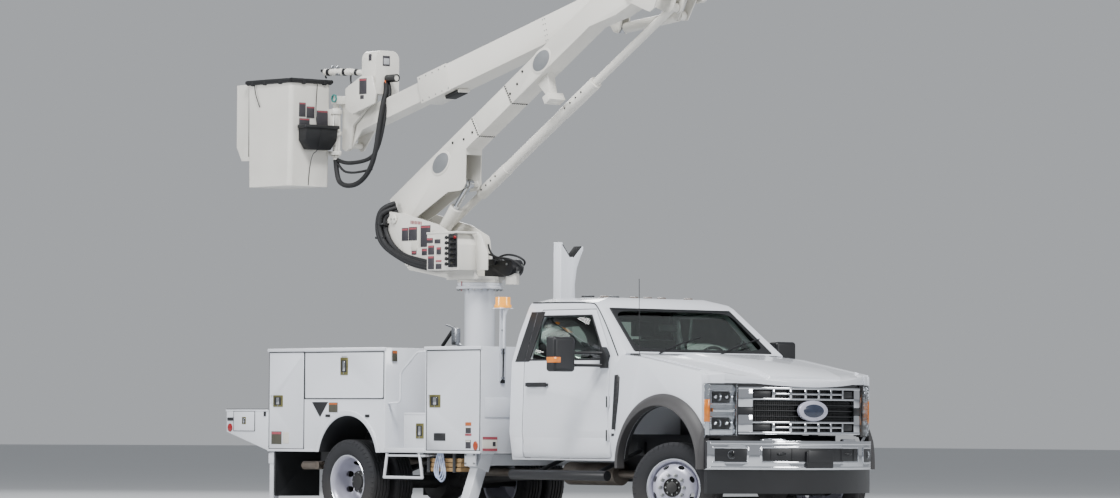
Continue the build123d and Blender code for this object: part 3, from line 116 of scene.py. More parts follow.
def linear(code):
    """Linear colour of an sRGB hex code."""
    values = [int(code[i:i + 2], 16) / 255 for i in (1, 3, 5)]
    return tuple(v / 12.92 if v <= 0.04045 else ((v + 0.055) / 1.055) ** 2.4 for v in values)


# Materials
def add_node(tree, kind, settings=(), links=()):
    """One shader node with its values set and its inputs linked."""
    made = tree.nodes.new(kind)
    for key, value in dict(settings).items():
        if isinstance(key, int) or key in made.inputs:
            made.inputs[key].default_value = value
        else:
            setattr(made, key, value)
    for key, (source, output) in dict(links).items():
        tree.links.new(source.outputs[output], made.inputs[key])
    return made


def add_relief(tree, shader, height, output, strength, depth):
    """Bump of so many millimetres on a shader, from a node's output."""
    relief = add_node(tree, "ShaderNodeBump", {"Strength": strength, "Distance": depth / 1000},
                      {"Height": (height, output)})
    tree.links.new(relief.outputs["Normal"], shader.inputs["Normal"])


def shader_of(material):
    """A finished material's node tree and its shader."""
    tree = material.node_tree
    return tree, next(n for n in tree.nodes if n.type == "BSDF_PRINCIPLED")


def finish(name, low, high, grain, rough, bump=(0, 1.0), metal=0.0, coat=0.0, glass=0.0,
           ior=1.5, grime=None, stretch=(1, 1, 1), glow=0.0):
    """Surface whose colour and roughness drift over a grain of so many millimetres.

    bump is its depth in millimetres and its own grain in millimetres, and grime a colour that
    gathers towards the ground below a height in millimetres.
    """
    made = bpy.data.materials.new(name)
    made.use_nodes = True
    tree = made.node_tree
    tree.nodes.clear()
    place = add_node(tree, "ShaderNodeTexCoord")
    turn = add_node(tree, "ShaderNodeMapping", {"Scale": stretch}, {"Vector": (place, "Object")})
    cloud = add_node(tree, "ShaderNodeTexNoise", {"Scale": 1000 / grain, "Detail": 4.0},
                     {"Vector": (turn, "Vector")})
    tint = add_node(tree, "ShaderNodeMix", {"data_type": "RGBA"})
    tint.inputs[6].default_value = (*linear(low), 1)
    tint.inputs[7].default_value = (*linear(high), 1)
    tree.links.new(cloud.outputs["Fac"], tint.inputs[0])
    colour = tint.outputs[2]
    if grime:
        split = add_node(tree, "ShaderNodeSeparateXYZ", (), {"Vector": (place, "Object")})
        fade = add_node(tree, "ShaderNodeMapRange", {"From Min": grime[1] / 1000, "From Max": 0.1,
                                                    "To Min": 0.0, "To Max": grime[2]},
                        {"Value": (split, "Z")})
        spots = add_node(tree, "ShaderNodeTexNoise", {"Scale": 7.0, "Detail": 8.0, "Roughness": 0.7},
                         {"Vector": (place, "Object")})
        patch = add_node(tree, "ShaderNodeMath", {"operation": "MULTIPLY"},
                         {0: (fade, "Result"), 1: (spots, "Fac")})
        dirt = add_node(tree, "ShaderNodeMix", {"data_type": "RGBA"})
        dirt.inputs[7].default_value = (*linear(grime[0]), 1)
        tree.links.new(patch.outputs[0], dirt.inputs[0])
        tree.links.new(tint.outputs[2], dirt.inputs[6])
        colour = dirt.outputs[2]
    gloss = add_node(tree, "ShaderNodeMapRange", {"To Min": rough[0], "To Max": rough[1]},
                     {"Value": (cloud, "Fac")})
    shader = add_node(tree, "ShaderNodeBsdfPrincipled",
                      {"Metallic": metal, "IOR": ior, "Coat Weight": coat, "Coat Roughness": 0.05,
                       "Transmission Weight": glass})
    tree.links.new(colour, shader.inputs["Base Color"])
    tree.links.new(gloss.outputs["Result"], shader.inputs["Roughness"])
    if bump[0]:
        fine = add_node(tree, "ShaderNodeTexNoise", {"Scale": 1000 / bump[1], "Detail": 3.0},
                        {"Vector": (turn, "Vector")})
        add_relief(tree, shader, fine, "Fac", 0.6, bump[0])
    if glow:
        shader.inputs["Emission Color"].default_value = (*linear(high), 1)
        shader.inputs["Emission Strength"].default_value = glow
    out = add_node(tree, "ShaderNodeOutputMaterial")
    tree.links.new(shader.outputs["BSDF"], out.inputs["Surface"])
    return made


def tread_plate(name, low, high):
    """Rolled aluminium floor plate: raised bars, laid each way in turn every 30 mm."""
    made = finish(name, low, high, 120, (0.35, 0.55), metal=0.9)
    tree, shader = shader_of(made)
    place = add_node(tree, "ShaderNodeTexCoord")
    waves = []
    for angle in (pi / 4, -pi / 4):
        turn = add_node(tree, "ShaderNodeMapping", {"Rotation": (0, 0, angle)},
                        {"Vector": (place, "Object")})
        waves.append(add_node(tree, "ShaderNodeTexWave", {"Scale": 10.0, "bands_direction": "X"},
                              {"Vector": (turn, "Vector")}))
    bars = add_node(tree, "ShaderNodeMath", {"operation": "MULTIPLY"},
                    {0: (waves[0], "Fac"), 1: (waves[1], "Fac")})
    add_relief(tree, shader, bars, 0, 0.8, 3)
    return made


def woven(name, low, high, thread):
    """Cloth of crossed threads, drawn twice as coarse as it is so that it shows."""
    made = finish(name, low, high, 60, (0.8, 0.95))
    tree, shader = shader_of(made)
    shader.inputs["Sheen Weight"].default_value = 0.3
    place = add_node(tree, "ShaderNodeTexCoord")
    across, down = (add_node(tree, "ShaderNodeTexWave", {"Scale": 160 / thread, "bands_direction": way},
                             {"Vector": (place, "Object")}) for way in "XZ")
    both = add_node(tree, "ShaderNodeMath", {"operation": "MULTIPLY"},
                    {0: (across, "Fac"), 1: (down, "Fac")})
    add_relief(tree, shader, both, 0, 0.5, 0.8)
    return made


paint = {}


def mix_paints(colours):
    """All the truck's finishes, each named for what the real one is."""
    def mix(name, *values, kind=finish, **more):
        paint[name] = kind(name, *values, **more)

    # Two-pack white enamel under clear coat, with road film near the ground
    mix("white_enamel", "#D5D8DF", colours.body, 900, (0.2, 0.3), (0.08, 60), coat=0.7,
        grime=("#8E8A84", 1100, 0.55))
    # Sprayed gelcoat on glass-fibre booms, warm and slightly chalky
    mix("boom_gelcoat", "#CFCCC4", colours.boom, 700, (0.3, 0.45), (0.15, 40), coat=0.35,
        stretch=(0.4, 1, 1))
    # Hand-laid gelcoat of the bucket, a little yellow
    mix("bucket_gelcoat", "#D3D0C8", "#E9E7E0", 380, (0.28, 0.42), (0.4, 55), coat=0.3)
    # Bare wound glass fibre of the insulating sleeve
    mix("glass_fibre", "#D2D0C8", "#E3E1D9", 160, (0.35, 0.5), (0.25, 12))
    # Chassis black: brushed alkyd paint with dust
    mix("chassis_black", "#15161A", "#24262B", 260, (0.45, 0.7), (0.4, 18), grime=("#5B554D", 900, 0.5))
    # Moulded, grained polypropylene of the arches and the air dam; the air dam is drawn in black plastic
    # instead, darker as painted shade since it faces down
    mix("grained_plastic", "#323132", colours.trim, 300, (0.5, 0.62), (0.25, 3),
        grime=("#77706A", 700, 0.35))
    # Black moulded plastic of mirrors, vents and boxes
    mix("black_plastic", "#0E0F11", "#1B1C20", 200, (0.35, 0.5), (0.12, 4))
    # Chrome-plated steel
    mix("chrome_plate", "#C9CBD0", "#E4E6EA", 500, (0.04, 0.1), (0.1, 300), metal=1.0)
    # Ground and plated cylinder rods
    mix("rod_chrome", "#B5B8BE", "#D5D8DC", 90, (0.08, 0.16), metal=1.0)
    # Silver wheel paint over steel, lavender in the shade
    mix("wheel_silver", "#A9A9BA", "#C3C3D0", 150, (0.3, 0.42), (0.1, 8), metal=0.35, coat=0.3,
        grime=("#6E6961", 800, 0.35))
    # Yellow-passivated zinc of the latch dishes, a dull brass tone
    mix("yellow_zinc", "#6B673F", "#8E8858", 30, (0.25, 0.4), metal=0.8)
    # Polished stainless steel of clips and valves, drawn along its height
    mix("stainless", "#8E9196", "#B4B7BC", 40, (0.22, 0.35), metal=1.0, stretch=(1, 1, 8))
    # Zinc-plated bolts and clamps
    mix("zinc", "#86888A", "#A6A8A6", 25, (0.35, 0.5), metal=0.9)
    # Tyre rubber, matt black with dry brown dust
    mix("tyre_rubber", "#16171A", "#26272B", 70, (0.75, 0.92), (0.5, 6), grime=("#6A635A", 500, 0.4))
    # Black hose covers and soft rubber pads
    mix("soft_rubber", "#0C0D0F", "#191A1D", 40, (0.55, 0.75), (0.3, 5))
    # Grey-green tinted safety glass
    mix("tinted_glass", "#C3D2C9", "#CCD9D1", 500, (0.0, 0.02), glass=1.0, ior=1.4)
    # Clear polycarbonate lamp lens
    mix("clear_lens", "#F4F6F8", "#FCFDFD", 200, (0.0, 0.02), glass=1.0, ior=1.3)
    # Aluminised reflector
    mix("reflector", "#C6C9CE", "#E2E4E8", 90, (0.08, 0.18), metal=1.0)
    # Moulded amber acrylic of the beacon, lit a little by its own lamp
    mix("beacon_amber", "#D9780F", "#FFB43A", 60, (0.08, 0.15), (0.2, 9), coat=0.6, glow=0.5)
    # Faded red reflector of the cabinet's front edge
    mix("marker_red", "#8A3218", "#A8431C", 40, (0.15, 0.25), coat=0.5)
    # Printed vinyl labels, olive and orange
    mix("label_olive", "#3F3D33", "#4C4A3E", 40, (0.4, 0.5))
    mix("label_orange", "#A8552A", "#B8642F", 40, (0.4, 0.5))
    # Amber and red acrylic lenses, deep coloured and glossy
    mix("amber_lens", "#C25E10", "#E58A22", 60, (0.1, 0.2), (0.2, 9), coat=0.6, glow=0.15)
    mix("red_lens", "#7E1118", "#A51E22", 60, (0.12, 0.22), (0.2, 9), coat=0.6)
    # Silvered mirror glass
    mix("mirror_glass", "#B6BEC6", "#C6CDD4", 300, (0.02, 0.05), metal=1.0)
    # Sand-cast iron of the engine, hubs and axles
    mix("cast_iron", "#232427", "#38393B", 60, (0.6, 0.85), (0.8, 7))
    # Oily black hub caps and blackened rivets
    mix("hub_grease", "#141517", "#2B2A28", 30, (0.35, 0.7), (0.5, 6))
    # Heated exhaust steel with light rust
    mix("exhaust_steel", "#5A4A3C", "#8B8781", 120, (0.4, 0.65), (0.3, 10), metal=0.7)
    # Rolled aluminium tread plate, dull on top
    mix("floor_plate", "#8C8F93", "#A8ABAE", kind=tread_plate)
    # Woven polyester seat cloth and strap webbing, both soft black
    mix("seat_cloth", "#131417", "#212328", 2.0, kind=woven)
    mix("strap_webbing", "#1A1B1E", "#2C2D31", 2.0, kind=woven)
    # Sawn softwood blocks, grey with use
    mix("sawn_wood", "#8C7049", "#B59468", 45, (0.7, 0.9), (0.6, 8), stretch=(0.12, 1, 1))
    # Pale printed vinyl with nothing on it
    mix("blank_label", "#C9C6BC", "#D8D5CC", 120, (0.45, 0.55))
    # Dark blue enamel of the blank badge
    mix("blank_badge", "#1E2638", "#2A3348", 60, (0.15, 0.25), coat=0.5)
    # Smoked acrylic of the roof markers
    mix("smoked_lens", "#5B5450", "#7A716A", 40, (0.08, 0.16), coat=0.7)
    # Dark printed vinyl and its red heading
    mix("label_dark", "#2C2B30", "#3A383E", 30, (0.4, 0.5))
    mix("label_red", "#8E3A44", "#A2505A", 40, (0.4, 0.5))
    # Grey rubber covers of the boom's hand holes
    mix("cover_grey", "#6A6D70", "#7C7F82", 80, (0.4, 0.55), (0.2, 14))
    # Grey anodised tag
    mix("grey_label", "#9C9DA0", "#AEB0B3", 90, (0.4, 0.5))
    # Blue and white braided rope
    mix("rope_blue", "#3E66A8", "#D9DDE2", 22, (0.7, 0.85), (0.5, 4))
    # Teal polyethylene ring
    mix("teal_plastic", "#1F6D6A", "#2A8380", 60, (0.35, 0.5))
    # Orange PVC of the bundled wires
    mix("orange_wire", "#C5561B", "#DB6B2A", 60, (0.4, 0.55))
    # Matt paper of the studio's floor
    mix("studio_floor", "#B9BBBD", "#C0C2C4", 3000, (0.75, 0.85))


# Modelling helpers
def quiet():
    """Object mode with nothing selected."""
    if bpy.context.object and bpy.context.object.mode != "OBJECT":
        bpy.ops.object.mode_set(mode="OBJECT")
    bpy.ops.object.select_all(action="DESELECT")


def pick(piece):
    """The piece alone selected and active."""
    quiet()
    piece.select_set(True)
    bpy.context.view_layer.objects.active = piece


def apply_modifier(piece, kind, **settings):
    """Adds a modifier with its settings and applies it."""
    pick(piece)
    made = piece.modifiers.new(kind.title(), kind)
    for key, value in settings.items():
        setattr(made, key, value)
    bpy.ops.object.modifier_apply(modifier=made.name)


def soften(piece, width, segments=2, angle=40):
    """Rounds the edges by a width in millimetres and shades what is smooth."""
    if width:
        apply_modifier(piece, "BEVEL", width=width / 1000, segments=segments, limit_method="ANGLE",
                       angle_limit=radians(angle), use_clamp_overlap=True)
    pick(piece)
    bpy.ops.object.shade_smooth_by_angle(angle=radians(38))
    return piece


def settle(piece):
    """Moves the piece's place into its mesh."""
    pick(piece)
    bpy.ops.object.transform_apply(location=True, rotation=True, scale=True)
    return piece


def slab(low, high, bevel=3, segments=2):
    """Box between two corners with rounded edges."""
    quiet()
    a, b = at(*low), at(*high)
    bpy.ops.mesh.primitive_cube_add(size=1, location=(a + b) / 2)
    piece = bpy.context.object
    piece.scale = [abs(v) for v in (b - a)]
    settle(piece)
    return soften(piece, bevel, segments)


def mesh_object(name, points, edges, faces):
    """New object in the scene, alone selected, of a mesh given point by point."""
    mesh = bpy.data.meshes.new(name)
    mesh.from_pydata(points, edges, faces)
    piece = bpy.data.objects.new(name, mesh)
    bpy.context.scene.collection.objects.link(piece)
    pick(piece)
    return piece


def plate(points, axis, low, high, bevel=3, segments=2):
    """Outline in the two axes other than the named one, raised between two places along it."""
    order = {"X": (1, 2), "Y": (0, 2), "Z": (0, 1)}[axis]
    spot = "XYZ".index(axis)
    corners = []
    for u, v in points:
        place = [0, 0, 0]
        place[order[0]], place[order[1]], place[spot] = u, v, low
        corners.append(at(*place))
    piece = mesh_object("outline", corners, [], [list(range(len(corners)))])
    bpy.ops.object.mode_set(mode="EDIT")
    bpy.ops.mesh.select_all(action="SELECT")
    reach = [0, 0, 0]
    reach[spot] = (high - low) / 1000
    bpy.ops.mesh.extrude_region_move(TRANSFORM_OT_translate={"value": reach})
    bpy.ops.mesh.select_all(action="SELECT")
    bpy.ops.mesh.normals_make_consistent(inside=False)
    bpy.ops.object.mode_set(mode="OBJECT")
    return soften(piece, bevel, segments)


def rod(start, end, radius, bevel=1.5, sides=32, narrow=None):
    """Round bar between two points, narrowing to a second radius if one is given."""
    quiet()
    a, b = at(*start), at(*end)
    bpy.ops.mesh.primitive_cone_add(vertices=sides, radius1=radius / 1000,
                                    radius2=(radius if narrow is None else narrow) / 1000,
                                    depth=(b - a).length, location=(a + b) / 2)
    piece = bpy.context.object
    piece.rotation_mode = "QUATERNION"
    piece.rotation_quaternion = (b - a).to_track_quat("Z", "Y")
    settle(piece)
    return soften(piece, bevel, 2)


def lathe(profile, centre, direction, steps=64, bevel=0):
    """Turns (radius, distance) points about an axis through a point."""
    piece = mesh_object("profile", [(r / 1000, 0, d / 1000) for r, d in profile],
                        [(i, i + 1) for i in range(len(profile) - 1)], [])
    bpy.ops.object.mode_set(mode="EDIT")
    bpy.ops.mesh.select_all(action="SELECT")
    bpy.ops.mesh.spin(steps=steps, angle=2 * pi, center=(0, 0, 0), axis=(0, 0, 1))
    bpy.ops.mesh.select_all(action="SELECT")
    bpy.ops.mesh.remove_doubles(threshold=0.00002)
    bpy.ops.mesh.normals_make_consistent(inside=False)
    bpy.ops.object.mode_set(mode="OBJECT")
    piece.rotation_mode = "QUATERNION"
    piece.rotation_quaternion = Vector(direction).to_track_quat("Z", "Y")
    piece.location = at(*centre)
    settle(piece)
    return soften(piece, bevel, 2)


def hose(points, radius, sides=4, order=3):
    """Round hose or wire that follows points smoothly."""
    curve = bpy.data.curves.new("hose", "CURVE")
    curve.dimensions = "3D"
    curve.bevel_depth = radius / 1000
    curve.bevel_resolution = sides
    curve.use_fill_caps = True
    line = curve.splines.new("NURBS")
    line.points.add(len(points) - 1)
    for point, place in zip(line.points, points):
        point.co = (*at(*place), 1)
    line.order_u = min(order, len(points))
    line.use_endpoint_u = True
    line.resolution_u = 6
    piece = bpy.data.objects.new("hose", curve)
    bpy.context.scene.collection.objects.link(piece)
    pick(piece)
    bpy.ops.object.convert(target="MESH")
    piece = bpy.context.object
    bpy.ops.object.shade_smooth()
    return piece


def mirrored(piece):
    """Copy on the other side of the truck."""
    pick(piece)
    bpy.ops.object.duplicate()
    twin = bpy.context.object
    twin.scale = (1, -1, 1)
    settle(twin)
    bpy.ops.object.mode_set(mode="EDIT")
    bpy.ops.mesh.select_all(action="SELECT")
    bpy.ops.mesh.normals_make_consistent(inside=False)
    bpy.ops.object.mode_set(mode="OBJECT")
    return twin


# Curved fronts seen from above: X at the middle, X at the side, and half the width
NOSE = (800, 500, 975)
BUMPER = (880, 514, 1000)


def nose_x(y, front, side_x, half):
    """X of the curved front at a distance from the truck's middle."""
    rise = front - side_x
    radius = (half * half + rise * rise) / (2 * rise)
    return front - radius + (radius * radius - y * y) ** 0.5


def bow(y_low, y_high, z_low, z_high, ahead, depth, curve=NOSE, bevel=3):
    """Strip that follows the curved front, so far ahead of it and so deep."""
    count = max(2, int((y_high - y_low) / 60))
    spots = [y_low + (y_high - y_low) * i / count for i in range(count + 1)]
    front = [(nose_x(y, *curve) + ahead, y) for y in spots]
    back = [(x - depth, y) for x, y in reversed(front)]
    return plate(front + back, "Z", z_low, z_high, bevel)


def oval(u, v, wide, high, count=36, tilt=0.0):
    """Points of an oval about a point."""
    spots = []
    for i in range(count):
        a, b = wide * cos(2 * pi * i / count), high * sin(2 * pi * i / count)
        spots.append((u + a * cos(tilt) - b * sin(tilt), v + a * sin(tilt) + b * cos(tilt)))
    return spots


def trim(piece, place, way, below=True):
    """Cuts the piece by a plane and keeps what lies below it, or above."""
    pick(piece)
    bpy.ops.object.mode_set(mode="EDIT")
    bpy.ops.mesh.select_all(action="SELECT")
    bpy.ops.mesh.bisect(plane_co=at(*place), plane_no=way, clear_outer=below, clear_inner=not below,
                        use_fill=True)
    bpy.ops.object.mode_set(mode="OBJECT")
    return piece


def turn_about(piece, x, y, angle):
    """Turns the piece about an upright line and keeps the place in its mesh."""
    centre = Matrix.Translation(at(x, y, 0))
    piece.matrix_world = centre @ Matrix.Rotation(angle, 4, "Z") @ centre.inverted()
    return settle(piece)


def lean(piece, x, z, angle, y=0):
    """Turns the piece about a line across the truck, nose up for a positive angle."""
    centre = Matrix.Translation(at(x, y, z))
    piece.matrix_world = centre @ Matrix.Rotation(-angle, 4, "Y") @ centre.inverted()
    return settle(piece)


def crowned(low, high, crown, axis=2, corner=45):
    """Upholstered pad whose face along an axis bulges by so many millimetres."""
    piece = slab(low, high, 0)
    pick(piece)
    bpy.ops.object.mode_set(mode="EDIT")
    bpy.ops.mesh.select_all(action="SELECT")
    bpy.ops.mesh.subdivide(number_cuts=9)
    bpy.ops.object.mode_set(mode="OBJECT")
    box = [[f(v.co[i] for v in piece.data.vertices) for f in (min, max)] for i in range(3)]
    others = [i for i in range(3) if i != axis]
    for v in piece.data.vertices:
        swell = 1.0
        for i in others:
            low_side, high_side = box[i]
            share = (v.co[i] - low_side) / (high_side - low_side) * 2 - 1
            swell *= 1 - abs(share) ** 2.6
        face = (v.co[axis] - box[axis][0]) / (box[axis][1] - box[axis][0])
        v.co[axis] += crown / 1000 * swell * face
    soften(piece, corner, 5, 50)
    return piece


def bolts(places, way, radius, tall, sides=6):
    """Bolt heads standing out of a face at each place."""
    made = []
    way = Vector(way).normalized()
    for place in places:
        made.append(rod(place, tuple(Vector(place) + way * tall), radius, radius * 0.12, sides))
    return made


def wear(piece, finish_name):
    """Gives the piece one finish."""
    piece.data.materials.clear()
    piece.data.materials.append(paint[finish_name])
    return piece


def worn(finish_name, pieces):
    """The pieces, all in one finish."""
    return [wear(piece, finish_name) for piece in pieces]


def bind(name, body, slot, *pieces):
    """Joins like pieces into one that moves with a body."""
    quiet()
    for piece in pieces:
        piece.select_set(True)
    bpy.context.view_layer.objects.active = pieces[0]
    if len(pieces) > 1:
        bpy.ops.object.join()
    made = bpy.context.object
    made.name = name
    made.data.name = name
    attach(made, body)
    return made


def twins(pieces):
    """Copies of the pieces on the other side of the truck."""
    return [mirrored(piece) for piece in pieces]


def left_twin(piece, body, node=None):
    """Mirrored copy of a right-hand piece, bound to a body and standing for a node."""
    twin = mirrored(piece)
    twin.name = piece.name.replace("right", "left")
    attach(twin, body)
    if node:
        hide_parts(node)
    return twin


def cut_away(piece, cutter):
    """Takes the cutter's shape out of the piece and drops the cutter."""
    apply_modifier(piece, "BOOLEAN", operation="DIFFERENCE", object=cutter, solver="EXACT")
    bpy.data.objects.remove(cutter)
    return piece


def dress(node, finish_name, bevel=4, segments=2, patches=()):
    """Rounded and finished copy of a CAD node. A patch gives another finish to the faces whose
    middle, in millimetres from the front axle, passes a test."""
    source = frame["nodes"][node]
    piece = bpy.data.objects.new(node + "_skin", source.data.copy())
    bpy.context.scene.collection.objects.link(piece)
    pick(piece)
    bpy.ops.object.mode_set(mode="EDIT")
    bpy.ops.mesh.select_all(action="SELECT")
    bpy.ops.mesh.remove_doubles(threshold=0.00003)
    bpy.ops.mesh.dissolve_limited(angle_limit=radians(0.5))
    bpy.ops.object.mode_set(mode="OBJECT")
    soften(piece, bevel, segments, 30)
    wear(piece, finish_name)
    for other, test in patches:
        piece.data.materials.append(paint[other])
        spot = len(piece.data.materials) - 1
        for face in piece.data.polygons:
            x, y, z = face.center * 1000
            if test(x - AXLE_AHEAD, y, z, face.normal):
                face.material_index = spot
    body = source["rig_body"]
    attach(piece, body)
    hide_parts(node)
    return piece


class TruckSizes(bpy.types.PropertyGroup):
    """Sizes that a user would change."""
    edge: bpy.props.FloatProperty(name="Panel edge",
                                  description="Rounding of body panel edges, in millimetres", default=5.0,
                                  min=0.5, max=12.0)
    nut: bpy.props.FloatProperty(name="Wheel nut",
                                 description="Wheel nut size across its corners, in millimetres",
                                 default=36.0, min=20.0, max=45.0)
    rivet: bpy.props.FloatProperty(name="Sleeve rivet",
                                   description="Diameter of the sleeve's rivet heads, in millimetres",
                                   default=18.0, min=8.0, max=30.0)
    hose: bpy.props.FloatProperty(name="Hose",
                                  description="Diameter of the hydraulic hoses, in millimetres",
                                  default=20.0, min=8.0, max=32.0)


class TruckColours(bpy.types.PropertyGroup):
    """Main colours, as sRGB hex codes."""
    body: bpy.props.StringProperty(name="Body", description="White of the cab and service body",
                                   default="#E3E6EC")
    boom: bpy.props.StringProperty(name="Boom", description="Off-white of the booms", default="#E2E0D9")
    trim: bpy.props.StringProperty(name="Trim", description="Grey of the arches and the air dam",
                                   default="#444344")


def sizes():
    """The scene's sizes that a user would change."""
    return bpy.context.scene.truck_sizes


class Step:
    """Shared settings of the operators."""
    bl_options = {"REGISTER", "UNDO"}


# The camera as solved from the photo: its place in millimetres from the front axle, its lens in
# millimetres on a 36 mm wide picture, and its heading, tilt and roll
CAMERA_PLACE = (32664.6, -30503.6, 874.2)
CAMERA_LENS = 160.75
CAMERA_TURN = (2.42874, 0.03667, 0.00632)


class TRUCK_OT_stage(Step, bpy.types.Operator):
    """Floor, studio light and the camera"""
    bl_idname = "truck.stage"
    bl_label = "Stage"

    def execute(self, context):
        quiet()
        bpy.ops.mesh.primitive_plane_add(size=400, location=(0, 0, 0))
        floor = bpy.context.object
        floor.name = "studio_floor"
        wear(floor, "studio_floor")
        world = bpy.data.worlds.new("studio")
        context.scene.world = world
        world.use_nodes = True
        sky = world.node_tree.nodes["Background"]
        sky.inputs["Color"].default_value = (*linear("#EDF1F6"), 1)
        sky.inputs["Strength"].default_value = 0.5
        # Name, place in metres, size in metres and power in watts
        lamps = (
            ("key", (8, -8, 18), 5.0, 5200),
            ("front", (22, 6, 8), 6.0, 1900),
            ("side", (-6, -24, 11), 8.0, 4200),
            ("rear", (-18, 12, 12), 8.0, 1500),
        )
        for name, place, size, power in lamps:
            quiet()
            bpy.ops.object.light_add(type="AREA", location=place)
            lamp = bpy.context.object
            lamp.name = name
            lamp.data.size = size
            lamp.data.energy = power
            lamp.rotation_mode = "QUATERNION"
            lamp.rotation_quaternion = (Vector(place) - Vector((0, 0, 1.5))).to_track_quat("Z", "Y")
        lens = bpy.data.cameras.new("photo_view")
        lens.lens = CAMERA_LENS
        lens.sensor_width = 36
        lens.clip_end = 500
        camera = bpy.data.objects.new("photo_view", lens)
        context.scene.collection.objects.link(camera)
        heading, tilt, roll = CAMERA_TURN
        aim = Matrix.Rotation(heading - pi / 2, 4, "Z") @ Matrix.Rotation(pi / 2 + tilt, 4, "X")
        camera.matrix_world = Matrix.Translation(at(*CAMERA_PLACE)) @ aim @ Matrix.Rotation(roll, 4, "Z")
        context.scene.camera = camera
        return {"FINISHED"}


class TRUCK_OT_panels(Step, bpy.types.Operator):
    """Cab, bonnet, wings and service body in their finishes"""
    bl_idname = "truck.panels"
    bl_label = "Body panels"

    def execute(self, context):
        edge = sizes().edge
        slope = Vector((430, 505)).normalized()

        def lining(x, y, z, n):
            side = 985 - max(0, z - 1505) * 185 / 545
            below = (x + 605) * slope.x + (z - 1585) * slope.y
            return (-2118 < x < -725 and 905 < z < 2062 and abs(y) < side - 28 and below < -16
                    and (z < 2003 or n.z < -0.3))

        def pillar(x, y, z, n):
            return -2075 < x < -1965 and 1512 < z < 2000 and abs(n.y) > 0.5

        def behind_wing(x, y, z, n):
            return abs(y) < 957 and z < 1500 and n.z < 0.5 and n.x < 0.5

        def front_well(x, y, z, n):
            return hypot(x - FRONT_ARCH[0], z - FRONT_ARCH[1]) < 518 and abs(y) < 998

        def rear_well(x, y, z, n):
            return hypot(x - REAR_ARCH[0], z - REAR_ARCH[1]) < 446 and abs(y) < 1168

        def door_edge(x, y, z, n):
            return abs(y) > 1022 or (x > -905 and z > 1452)

        def door_pillar(x, y, z, n):
            return z > 1512 and x < -1880 and abs(n.y) > 0.5

        def door_lining(x, y, z, n):
            return abs(y) < 955 and abs(n.y) > 0.5 and z < 1500

        dress("cab_shell", "white_enamel", edge, 3,
              [("black_plastic", pillar), ("black_plastic", lining)])
        dress("fenders", "white_enamel", edge, 3, [("chassis_black", behind_wing),
                                                   ("chassis_black", front_well)])
        dress("hood", "white_enamel", edge, 3)
        for side in ("right", "left"):
            dress("cab_door_" + side, "white_enamel", edge, 3,
                  [("black_plastic", test) for test in (door_edge, door_pillar, door_lining)])
            dress("cabinet_" + side, "white_enamel", 3, 2, [("chassis_black", rear_well)])
            for name in ("rear_vertical", "horizontal", "front_vertical"):
                dress("locker_%s_%s" % (name, side), "white_enamel", 3, 2)
        dress("tail_shelf", "white_enamel", 4, 2)
        dress("bed_floor", "floor_plate", 2, 1, [("white_enamel", lambda x, y, z, n: z > 930)])
        dress("access_steps", "white_enamel", 2, 2)
        for node in ("outrigger_housing", "outrigger_leg_right", "outrigger_leg_left", "pedestal"):
            dress(node, "white_enamel", 3, 2)
        return {"FINISHED"}


class TRUCK_OT_chassis(Step, bpy.types.Operator):
    """Frame, axles, engine and exhaust"""
    bl_idname = "truck.chassis"
    bl_label = "Chassis"

    def execute(self, context):
        for node, name, bevel in (("frame_rails", "chassis_black", 2), ("engine_block", "cast_iron", 12),
                                  ("front_axle", "chassis_black", 3), ("rear_axle", "chassis_black", 3),
                                  ("exhaust", "exhaust_steel", 3), ("knuckle_right", "cast_iron", 3),
                                  ("knuckle_left", "cast_iron", 3), ("tie_rod", "chassis_black", 2),
                                  ("running_boards", "black_plastic", 3),
                                  ("mud_flaps", "soft_rubber", 1)):
            dress(node, name, bevel, 2)
        return {"FINISHED"}


class TRUCK_OT_booms(Step, bpy.types.Operator):
    """Turntable, booms, cylinders, platform head and bucket"""
    bl_idname = "truck.booms"
    bl_label = "Aerial device"

    def execute(self, context):
        def motor(x, y, z, n):
            return x > -3562 and 2347 < z < 2522 and 8 < y < 195

        dress("turntable", "boom_gelcoat", 4, 3, [("black_plastic", motor)])
        for node, name, bevel in (("lower_boom", "boom_gelcoat", 6),
                                  ("lower_boom_insert", "glass_fibre", 4),
                                  ("compression_link", "boom_gelcoat", 3), ("elbow", "boom_gelcoat", 4),
                                  ("lift_barrel", "boom_gelcoat", 3), ("lift_rod", "rod_chrome", 2),
                                  ("upper_boom", "boom_gelcoat", 6), ("tip_boom", "boom_gelcoat", 6),
                                  ("upper_lift_barrel", "boom_gelcoat", 3),
                                  ("upper_lift_rod", "rod_chrome", 2),
                                  ("platform_head", "boom_gelcoat", 4)):
            dress(node, name, bevel, 3)
        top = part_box("bucket")[1].z * 1000

        def lip(x, y, z, n):
            return z > top - 42

        def pouch(x, y, z, n):
            return x > -6262 and 3640 < z < 3880 and y < 145

        skin = dress("bucket", "bucket_gelcoat", 6, 3, [("soft_rubber", lip), ("soft_rubber", pouch)])
        for corner in ([(-290, 3800), (-290, 3600), (-140, 3600)],
                       [(180, 3800), (180, 3600), (36, 3600)]):
            cut_away(skin, plate(corner, "X", -6291, -6090, 0))
        for face in skin.data.polygons:
            x, y, z = face.center * 1000
            if pouch(x - AXLE_AHEAD, y, z, face.normal):
                face.material_index = 2
        return {"FINISHED"}


